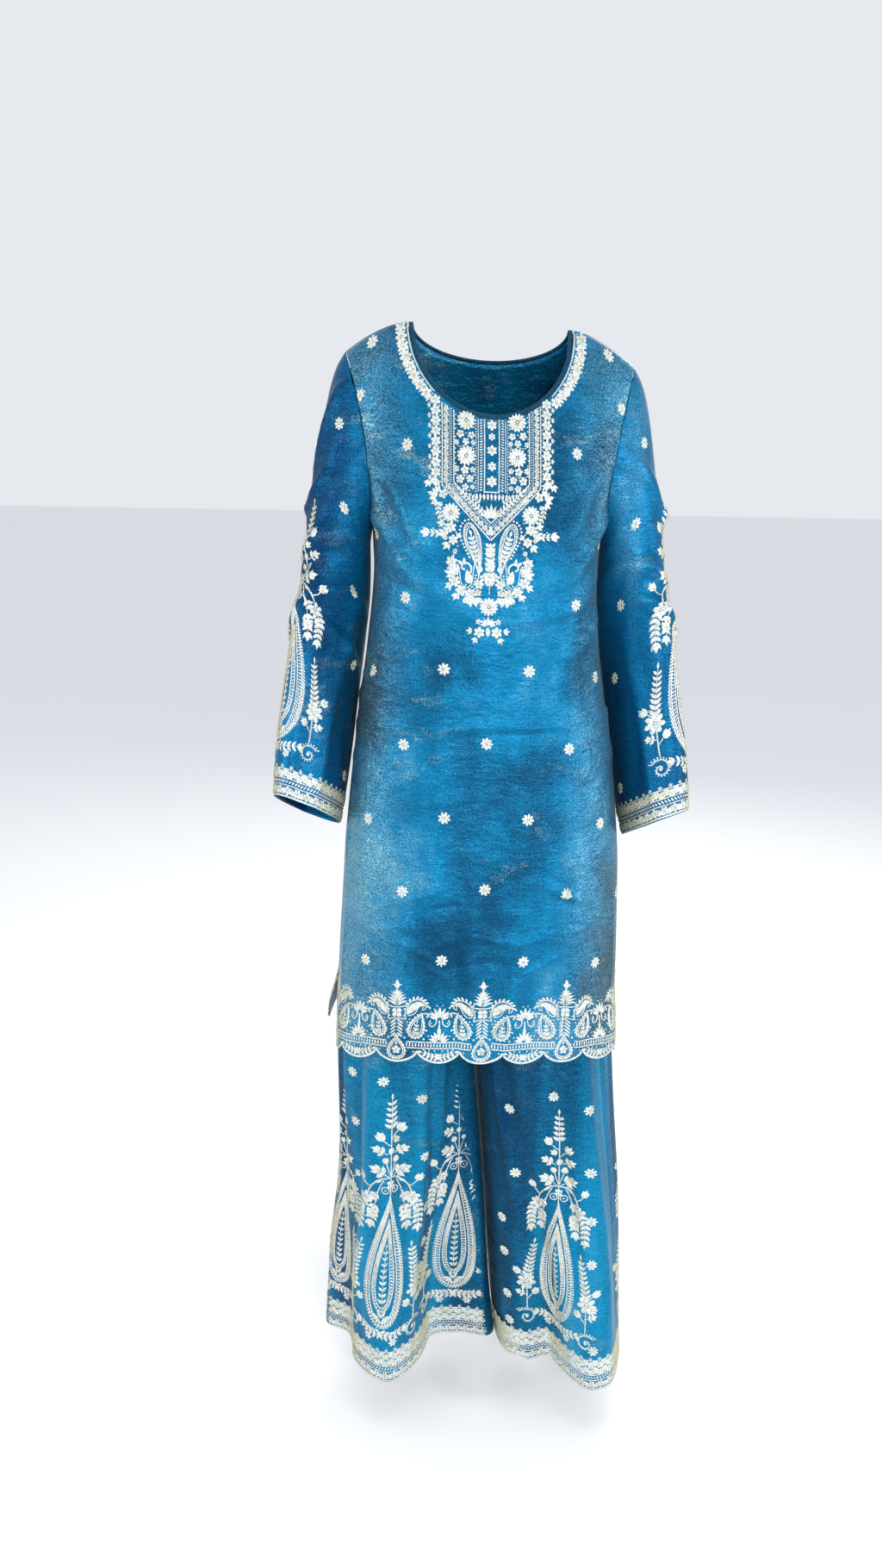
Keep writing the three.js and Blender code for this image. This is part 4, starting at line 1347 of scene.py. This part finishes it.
    # the foot: leaves and two flowers under the last wheel
    for turn, long in ((28, 9), (56, 10), (86, 9)):
        half.leaf(-1, -349, long, 4.0, turn)
    flowered(half, (-10.5, -358, 13.5), (-12, -345, 7))
    budded(half, (-19, -357, 8, 80), (-14, -365, 8, 150))
    made = Motif()
    made.mirrored(half)
    for z, wide in ((-118.5, 12), (-131.5, 8.5), (-147, 12), (-165, 10.5), (-182, 12.5)):
        made.put(flower(wide, 6), 0, z)
    made.leaf(0, PLACKET_END_Z - 2, 8, 3.0, 180)
    for turn in (-72, -48, -24, 0, 24, 48, 72):
        made.leaf(0, -223, 16 - abs(turn) * 0.05, 4.2, turn)
    made.leaf(0, -244, 13, 5, 0)
    for z in np.arange(-302, -256, 5.6):
        for side in (-1, 1):
            made.leaf(0, z, 8, 4.2, side * 52)
    made.cord([(0, -312), (0, -252)], 1.4, 1.0)
    for z, wide in ((-262, 11), (-278, 12.5), (-293, 13)):
        made.put(flower(wide, 6), 0, z, z)
    made.put(rosette(22.5), 0, -327)
    made.leaf(0, -349, 11, 4.2, 0)
    made.leaf(0, -352, 12, 5.4, 180)
    return made


def neck_row(panel, face, start, end):
    """A cord and a row of flowers with buds between them, from one angle round the neck to another."""
    made = Motif()
    deep = FRONT_NECK_DEEP if face == FRONT else BACK_NECK_DEEP
    inside, outside = PIPING_WIDE + 1.8, PIPING_WIDE + NECK_FLOWER / 2 + 3.2
    turn = np.radians(np.linspace(start, end, 200))

    def ellipse(beyond):
        return np.stack([(NECK_HALF + beyond) * np.sin(turn), -(deep + beyond) * np.cos(turn)], axis=1)

    made.cord([(panel.flat_at(x, z), z) for x, z in ellipse(inside)], 1.9, 1.1)
    for i, (x, z) in enumerate(walk(ellipse(outside), NECK_FLOWER_PITCH / 2)):
        aim = math.degrees(math.atan2(x / (NECK_HALF + outside), -z / (deep + outside))) + 180
        flat = panel.flat_at(x, z)
        if i % 2 == 0:
            made.put(flower(NECK_FLOWER * 1.04, 6), flat, z, 17 * i)
        else:
            made.put(bud(12), *(polar(-4, aim) + np.array([flat, z])), aim)
            made.knot(*(polar(5, aim + 180) + np.array([flat, z])), 2.6)
    return made


def border_unit(reach):
    """One repeat of the hem border, with its foot on the scallops' cusps: it reaches half way to the next."""
    half = Motif()
    # the frame round the four-petalled flower, and the cone of leaves
    half.cord(bend((-13.5, 64), (-6, 62), (0, 61.6)), 1.9, 1.2)
    half.cord(bend((-13, 63), (-10.6, 55), (-11.6, 45)), 1.9, 1.2)
    half.cord(bend((-11.6, 45), (-5, 46), (0, 46.2)), 1.7, 1.1)
    for foot, long, turn in ((64, 15, 64), (67, 15, 56), (70, 14, 47), (73, 12.5, 37), (75, 11, 24)):
        half.leaf(-0.2, foot, long, 3.2, turn, bend=1.2)
    half.leaf(-0.2, 87, 8.5, 3.8, 50, bend=2.6)
    dotted(half, 2.8, (-9.4, 58.6), (-9.2, 49.6), (-13.4, 41), (-16.5, 45), (-12.5, 30))
    # the curled horn, satin stitched across, with a toothed back
    back = bend((-13, 57), (-16, 67), (-24, 72), (-32, 71.5), (-37, 66), (-36.6, 59.6), (-32.4, 58.6))
    belly = bend((-14, 50), (-20, 51), (-24.5, 55), (-27.5, 61), (-31, 64.6), (-33.8, 63.4), (-33, 60.2))
    half.cord(back, 1.8, 1.2)
    half.cord(belly, 1.6, 1.1)
    half.rungs(back[:26], belly[:26], 2.3, 2.9)
    for i in range(4, 26, 3):
        (x, z), (next_x, next_z) = back[i], back[i + 1]
        half.leaf(x, z, 6, 3.2, math.degrees(math.atan2(next_z - z, next_x - x)) - 90 - 62)
    # the herringbone stalk, and the oval paisley beside it
    for z in (23, 27.6, 32.2, 36.8, 41.4):
        half.stitch((-0.3, z + 4), (-8.4, z - 3), 2.9, 1.2)
    rim, core = drop(27, 40, -6, x=-24.5, z=16.5, sharp=0.75), drop(14, 26.5, -8, x=-24.5, z=23, sharp=0.9)
    half.cord(core, 1.7, 1.1)
    half.cord(mix(core, rim, 0.45), 2.6, 1.2)
    half.rungs(core, rim, 3.4, 3.2, high=1.4)
    half.put(spray(18, 3, 6.6, 3.6, 42), -24.3, 24.5, 8)
    # half of the stalk with two fans, and the scroll, between this repeat and the next
    for turn, low, tall in ((0, 12.5, 14.5), (26, 12.5, 14.5), (50, 12, 13.5), (74, 11, 11)):
        for foot, long in ((15, low), (46, tall)):
            x, z = polar(3, -turn)
            half.leaf(0.1 - reach + x, foot + z, long, 4.3, -turn, bend=-0.4)
    half.stitch((0.3 - reach, 27), (0.3 - reach, 47), 2.2)
    half.leaf(0.3 - reach, 25, 12, 4.6)
    curl = bend(
        (-31, 53), (-40, 54), (4.6 - reach, 49), (4.8 - reach, 40), (10 - reach, 36), (13.4 - reach, 40),
        (11.4 - reach, 45),
    )
    half.cord(curl, 2.0, 1.2)
    half.leaf(-41, 53, 6, 2.8, 200)
    dotted(half, 3.7, (-42.6, 61.5), (-39, 30.5), (-35.6, 18.5), (-10.5, 19.5))
    dotted(
        half, 2.6, (-41.5, 23), (-36.6, 53.4), (-18, 13.6), (3.4 - reach, 65), (10.4 - reach, 40.4),
        (-32, 13.8),
    )
    made = Motif()
    made.mirrored(half)
    made.leaf(0, 86, 13.5, 6.0, 0)
    made.leaf(0, 77, 11, 4.0, 0)
    made.put(flower(14, 4), 0, 54, 45)
    made.put(bud(7), 0, 18.5, 0)
    return made


def medallion():
    """The round drop that hangs in every second scallop."""
    made = Motif()
    rim, outline = drop(28, 34, z=-12, sharp=0.75), drop(17.5, 24.5, z=-7, sharp=1.1)
    made.cord(outline, 1.7, 1.1)
    made.cord(mix(outline, rim, 0.5), 2.4, 1.2)
    made.rungs(outline, rim, 3.5, 3.2, high=1.4)
    made.put(flower(11.5, 5), 0, 2.5)
    made.leaf(0, 9.5, 6, 2.8)
    return made


def scallop_spray():
    """A garland of small leaves and dots that fills the scallops between."""
    made = Motif()
    made.mirrored(sprig(bend((-1, -6), (-11, -4.5), (-21, 0)), 5, 7, 3.6, 54, 0.2))
    made.put(trefoil(9), 0, -9)
    dotted(made, 3.0, (-19, 3.6), (-12, 3.2), (12, 3.2), (19, 3.6), (-5, 2.6), (5, 2.6))
    return made


def kurta_border(panel):
    """The border and the corded edge of the scallops, with where they start and end across the cloth."""
    made = Motif()
    row = panel.row_at(HEM_Z)
    low, high = panel.across[row, 0] + 2, panel.across[row, -1] - 2
    pitch = (high - low) / SCALLOPS
    unit, drop_piece, garland = border_unit(pitch), medallion(), scallop_spray()
    stops = [low + pitch * (i + 0.5) for i in range(SCALLOPS)]
    for i, x in enumerate(stops):
        made.put(garland if i % 2 else drop_piece, x, 0)
        dotted(made, 2.8, (x - pitch / 2 + 5, 1), (x - pitch / 2 - 5, 1))
        if i % 2 == 0:
            made.put(unit, x, 0)
    # the ladder band, from medallion to medallion
    rests = [low - 14] + stops[::2] + [high + 14]
    for start, end in zip(rests, rests[1:]):
        ladder = [[(x, z) for x in np.linspace(start + 13.5, end - 13.5, 20)] for z in (6, 14.4)]
        for line in ladder:
            made.cord(line, 2.0, 1.2)
        made.rungs(ladder[0], ladder[1], 4.0, 2.5)
    dip = lambda x: HEM_Z - HEM_DIP * np.abs((x - low) * 2 / (high - low) - 1) ** 2.5
    made = made.hung(dip, low, high)
    place = np.linspace(-1, 1, 16 * SCALLOPS + 1)
    edge = np.stack([mix(low, high, (place + 1) / 2), hem_height(place) + 1.9], axis=1)
    made.cord(edge, 3.4, 1.4)
    return made, low, high


def powder(made, rows, first_z, low_x, high_x, shifted):
    """Small flowers in a half drop: every second row is shifted by half a column."""
    for i in range(rows):
        z = first_z - BUTI_ROW * i
        start = -1.5 * BUTI_COLUMN if (i + shifted) % 2 else -1.0 * BUTI_COLUMN
        for k in range(4):
            x = start + k * BUTI_COLUMN + MIDDLE
            if low_x < x < high_x:
                made.put(flower(BUTI, 8), x, z - 0.0006 * x * x, 9 * k + 31 * i)


front_work = Motif()
front_work.put(yoke(), MIDDLE, 0)
front_work.put(neck_row(kurta_front, FRONT, -88, -43))
front_work.put(neck_row(kurta_front, FRONT, 43, 88))
border, low, high = kurta_border(kurta_front)
front_work.put(border)
powder(front_work, 5, -403, low + 40, high - 40, 1)
for x, z in ((-147, -10), (-165, -64), (-107, -142), (-166, -250), (-107, -322)):
    front_work.put(flower(BUTI, 8), x, z, x)
    front_work.put(flower(BUTI, 8), -x, z - 2, x + 20)
embroider("kurta_front_embroidery", kurta_front, (front_work, None))

back_work = Motif()
back_work.put(neck_row(kurta_back, BACK, -86, 86))
border, low, high = kurta_border(kurta_back)
back_work.put(border)
powder(back_work, 8, -124, low + 40, high - 40, 0)
embroider("kurta_back_embroidery", kurta_back, (back_work, None))

# ---- Embroidery of the sleeves and the sharara ----
# Both carry the same tall motif: a teardrop paisley in beaded rows, with a flowering spray on its tip and a
# leafy sprig on each side that ends in a scroll. A band of lattice, beads and flowers closes the edge.
TREE_WIDE, TREE_TALL, PAISLEY_TALL = 62, 342, 204
LATTICE_FOOT, LATTICE_TALL, BAND_REPEAT, BAND_MIDDLE = 24, 11.5, 13.5, 20


def tree(wide=TREE_WIDE):
    """The tall motif, from the paisley's foot at 0 to the tip of the spray."""
    half, aside = Motif(), wide / 2 + 19
    # leaves and berries above the node
    half.put(lobed(28), -3, 227, 62)
    half.cord([(-0.6, 228), (-7, 248)], 1.9, 1.0)
    half.knot(-7.2, 250, 11, 2.4)
    half.put(lobed(22), -5, 259, 64)
    # the arching branches from the node: a bud, a flower and drooping leaves on each
    half.cord(bend((0, 226), (-13, 222), (-24, 212), (-30, 198)), 2.4, 1.2)
    half.leaf(-12, 221, 12, 4.4, 118)
    half.cord(bend((-25, 209), (-32, 213), (-36, 220)), 1.8, 1.0)
    half.put(trefoil(13, 24, 0.6), -35.4, 217, 22)
    half.put(flower(18, 5), -31, 192)
    half.put(sprig(bend((-33, 188), (-39, 176), (-41, 152)), 7.2, 11, 6, 46, 0.1, tip=14))
    half.cord(bend((-9, 222), (-16, 206), (-19, 188)), 2.0, 1.1)
    half.put(lobed(20), -17, 204, 150)
    half.put(flower(17, 6), -23, 170)
    half.put(sprig(bend((-19, 190), (-22, 178), (-25, 158)), 8, 10.5, 5.6, 50, 0.0, tip=14, skip=1))
    # the small double curl under the node
    half.cord(ring(-7, 207, 4.8), 1.9, 1.1, each=2)
    half.knot(-7, 207, 3.6)
    # the side sprig: a spike, a flower with buds and leaves, and a scroll at its foot
    half.put(spray(66, 8, 12, 5.6, 48, 0.4), -aside + 1, 62, -12)
    half.cord([(-aside + 1, 64), (-aside, 8)], 2.4, 1.1)
    half.put(flower(28, 7), -aside, 52)
    for x, z, turn in ((-9, 66, 44), (9, 30, -48)):
        half.put(trefoil(14, 24, 0.6), -aside + x, z, turn)
        half.cord([(-aside, z - 8), (-aside + x, z + 1)], 1.8, 1.0)
    half.put(lobed(18), -aside, 30, 70)
    half.leaf(-aside, 60, 14, 5.0, -56)
    half.put(scroll(34), -aside - 1, -8)
    # the garland under the paisley, and the leaves in the gap at its foot
    half.put(sprig(bend((0, -6), (-14, -8), (-aside + 18, -4)), 7.2, 10, 5.0, 52, 0.1, tip=12))
    flowered(half, (-wide * 0.3, -17, 12))
    half.leaf(-0.6, 11, 20, 6.4, 58, bend=2.5)
    half.leaf(-0.6, 18, 13, 4.4, 24)
    made = Motif()
    made.mirrored(half)
    # the stem, its tulip buds and the spike
    made.cord([(0, 194), (0, 304)], 2.2, 1.0)
    made.put(flower(12, 4), 0, 215, 45)
    made.knot(0, 263, 11.5, 2.4)
    for x, z, turn, foot in ((-11, 278, 26, 270), (11, 290, -30, 281)):
        made.cord([(0, foot), (x, z + 1)], 1.9, 1.0)
        made.put(trefoil(15, 24, 0.62), x, z, turn)
    made.put(trefoil(11, 30, 0.5), 3, 276, -64)
    made.put(spray(TREE_TALL - 296, 5, 11.5, 5.6, 54, 0.35), 0, 296)
    # the paisley: rows of padded stitches between cords, with silk showing in two rings
    insets = ((0, 3, 0), (5.6, 9, 5.5), (11.4, 20, 10.5), (15.4, 38, 27), (20.6, 58, 33))
    rows = [
        drop(wide - 2 * inset * wide / TREE_WIDE, PAISLEY_TALL - shorter - foot, z=foot, sharp=1.4)
        for inset, shorter, foot in insets
    ]
    for row, thick in zip(rows[1:], (2.4, 2.0, 2.0, 1.8)):
        made.cord(row, thick, 1.2, each=3.2)
    for i, pitch, thick in ((1, 4.0, 3.1), (2, 4.3, 2.5), (4, 4.0, 2.8)):
        made.rungs(rows[i][2:-2], rows[i - 1][2:-2], pitch, thick, skew=1, high=1.3)
    made.put(spray(PAISLEY_TALL - 110, 9, 8.5, 4.4, 44, 0.4), 0, 40)
    return made


def edge_band(start, end, lattices):
    """The band along a cuff or a hem, from its corded rim upwards, with one row of lattice or two."""
    made = Motif()
    level = lambda z: [(start + 1, z), (end - 1, z)]
    cords = [(1.6, 3.2), (15.5, 2.0), (LATTICE_FOOT, 2.0)]
    cords += [(LATTICE_FOOT + LATTICE_TALL * (k + 1), 2.1) for k in range(lattices)]
    for z, wide in cords:
        made.cord(level(z), wide, 1.0, each=5)
    made.rungs(level(16.6), level(23), 4.2, 3.0, skew=1)
    count = round((end - start) / BAND_REPEAT)
    pitch = (end - start) / count
    for i in range(count):
        x = start + pitch * (i + 0.5)
        made.put(flower(12, 6), x, 8.8, 25 * i)
        made.put(trefoil(9, 40, 0.5), x + pitch / 2, 4)
        for k in range(lattices):
            foot = LATTICE_FOOT + 0.4 + LATTICE_TALL * k
            made.put(trefoil(10, 46, 0.5), x, foot)
            made.put(trefoil(10, 46, 0.5), x + pitch / 2, foot + 10.4, 180)
        made.put(bud(5.5), x, LATTICE_FOOT + 0.5 + LATTICE_TALL * lattices)
    return made


def flowers_at(*places):
    """Small flowers, each turned a little from the last."""
    made = Motif()
    for i, (x, z) in enumerate(places):
        made.put(flower(BUTI, 8), x, z, 23 * i)
    return made


SLEEVE_TREE_WIDE, SLEEVE_TREE_Z = 72, 70
tree_on_sleeve, tree_on_leg = tree(SLEEVE_TREE_WIDE), tree()
for name, panel, middle, size in (("left", sleeve_left, 22, 0.88), ("right", sleeve_right, 12, 0.98)):
    work = Motif()
    work.put(tree_on_sleeve, middle, SLEEVE_TREE_Z, size=size)
    row = panel.row_at(BAND_MIDDLE)
    work.put(edge_band(panel.across[row, 0] + 0.5, panel.across[row, -1] - 0.5, 1))
    for x, z in ((60, 372), (88, 284), (118, 200), (142, 60), (44, 462)):
        work.put(flower(BUTI * 0.95, 8), middle * 0.5 + x, z, z)
        work.put(flower(BUTI * 0.95, 8), middle * 0.5 - x, z, z + 20)
    embroider(f"sleeve_{name}_embroidery", panel, (work, None))

LEG_TREES = {
    # each leg's trees: the turn of their column, their lean and their size
    (LEFT, FRONT): ((10, -3, 1.02), (63, -4, 1.08), (136, -1, 1.1)),
    (RIGHT, FRONT): ((2, 0, 1.0), (87, 1.5, 1.0)),
    (LEFT, BACK): ((214, 0, 1.0), (270, 2, 1.05), (330, -2, 1.0)),
    (RIGHT, BACK): ((208, 2, 1.0), (268, 0, 1.05), (328, -2, 1.0)),
}
LEG_BUTIS = {
    # the small flowers between the trees: the turn of a column, and their heights on it
    (LEFT, FRONT): {
        38: (470, 392), 72: (474,), 99: (445, 350, 262, 198, 126), 172: (420, 350, 280, 180),
    },
    (RIGHT, FRONT): {
        57: (430, 336, 262, 196, 126, 62), 86: (446,), 124: (422, 320), 145: (236, 180, 108, 62),
    },
    (LEFT, BACK): {
        192: (440, 350, 260, 170), 242: (446, 352, 262, 198, 126), 300: (420, 336, 256, 190, 120),
    },
    (RIGHT, BACK): {
        188: (430, 340, 250, 170), 238: (440, 346, 258, 192, 124), 298: (424, 336, 252, 186, 118),
    },
}
LEG_TREE_Z = 82
for (side, face), panel in legs.items():
    row = panel.row_at(BAND_MIDDLE)
    works = [(edge_band(panel.across[row].min() + 1, panel.across[row].max() - 1, 2), None)]
    for turn, lean, size in LEG_TREES[side, face]:
        grown = Motif()
        grown.put(tree_on_leg, 0, LEG_TREE_Z, lean, size)
        works.append((grown, turn))
    for turn, heights in LEG_BUTIS[side, face].items():
        works.append((flowers_at(*[(0, z) for z in heights]), turn))
    embroider(LEG_NAMES[side, face] + "_embroidery", panel, *works)

# ---- Stage: a pale floor and soft studio light ----
FLOOR_Z, FLOOR_REACH = -1527, 30000
bpy.context.scene.view_settings.view_transform = "Standard"


def lamp(name, spot, aim, size, power):
    """A round soft lamp, its places and size in metres and its power in watts."""
    data = bpy.data.lights.new(name, "AREA")
    data.shape, data.size, data.energy = "DISK", size, power
    thing = bpy.data.objects.new(name, data)
    thing.location = spot
    thing.rotation_euler = (Vector(aim) - Vector(spot)).to_track_quat("-Z", "Y").to_euler()
    bpy.context.collection.objects.link(thing)


lamp("key", (0.3, -2.5, 0.1), (0, 0, -0.8), 1.0, 37)
lamp("left", (-2.0, -0.9, -0.2), (0, 0, -0.75), 0.5, 14)
lamp("right", (2.1, -1.0, -0.3), (0, 0, -0.75), 0.5, 18)
lamp("top", (0.2, -0.6, 1.9), (0, 0, -0.7), 0.8, 9)
lamp("rear", (0.6, 2.4, 0.9), (0, 0, -0.7), 2.0, 40)

world = bpy.data.worlds.new("studio")
world.use_nodes = True
world.node_tree.nodes["Background"].inputs["Color"].default_value = (0.92, 0.95, 1.0, 1)
world.node_tree.nodes["Background"].inputs["Strength"].default_value = 0.86
bpy.context.scene.world = world

floor_mesh = bpy.data.meshes.new("floor")
corners = [(FLOOR_REACH * x, FLOOR_REACH * y, FLOOR_Z) for x, y in ((-1, -1), (1, -1), (1, 1), (-1, 1))]
floor_mesh.from_pydata(MM * np.array(corners), [], [(0, 1, 2, 3)])
floor = bpy.data.objects.new("floor", floor_mesh)
bpy.context.collection.objects.link(floor)
floor_paint, floor_place, floor_surface = finish("pale_floor")
use(floor_place, floor_surface, Base_Color=(0.86, 0.86, 0.87, 1), Roughness=0.8)
floor_mesh.materials.append(floor_paint)
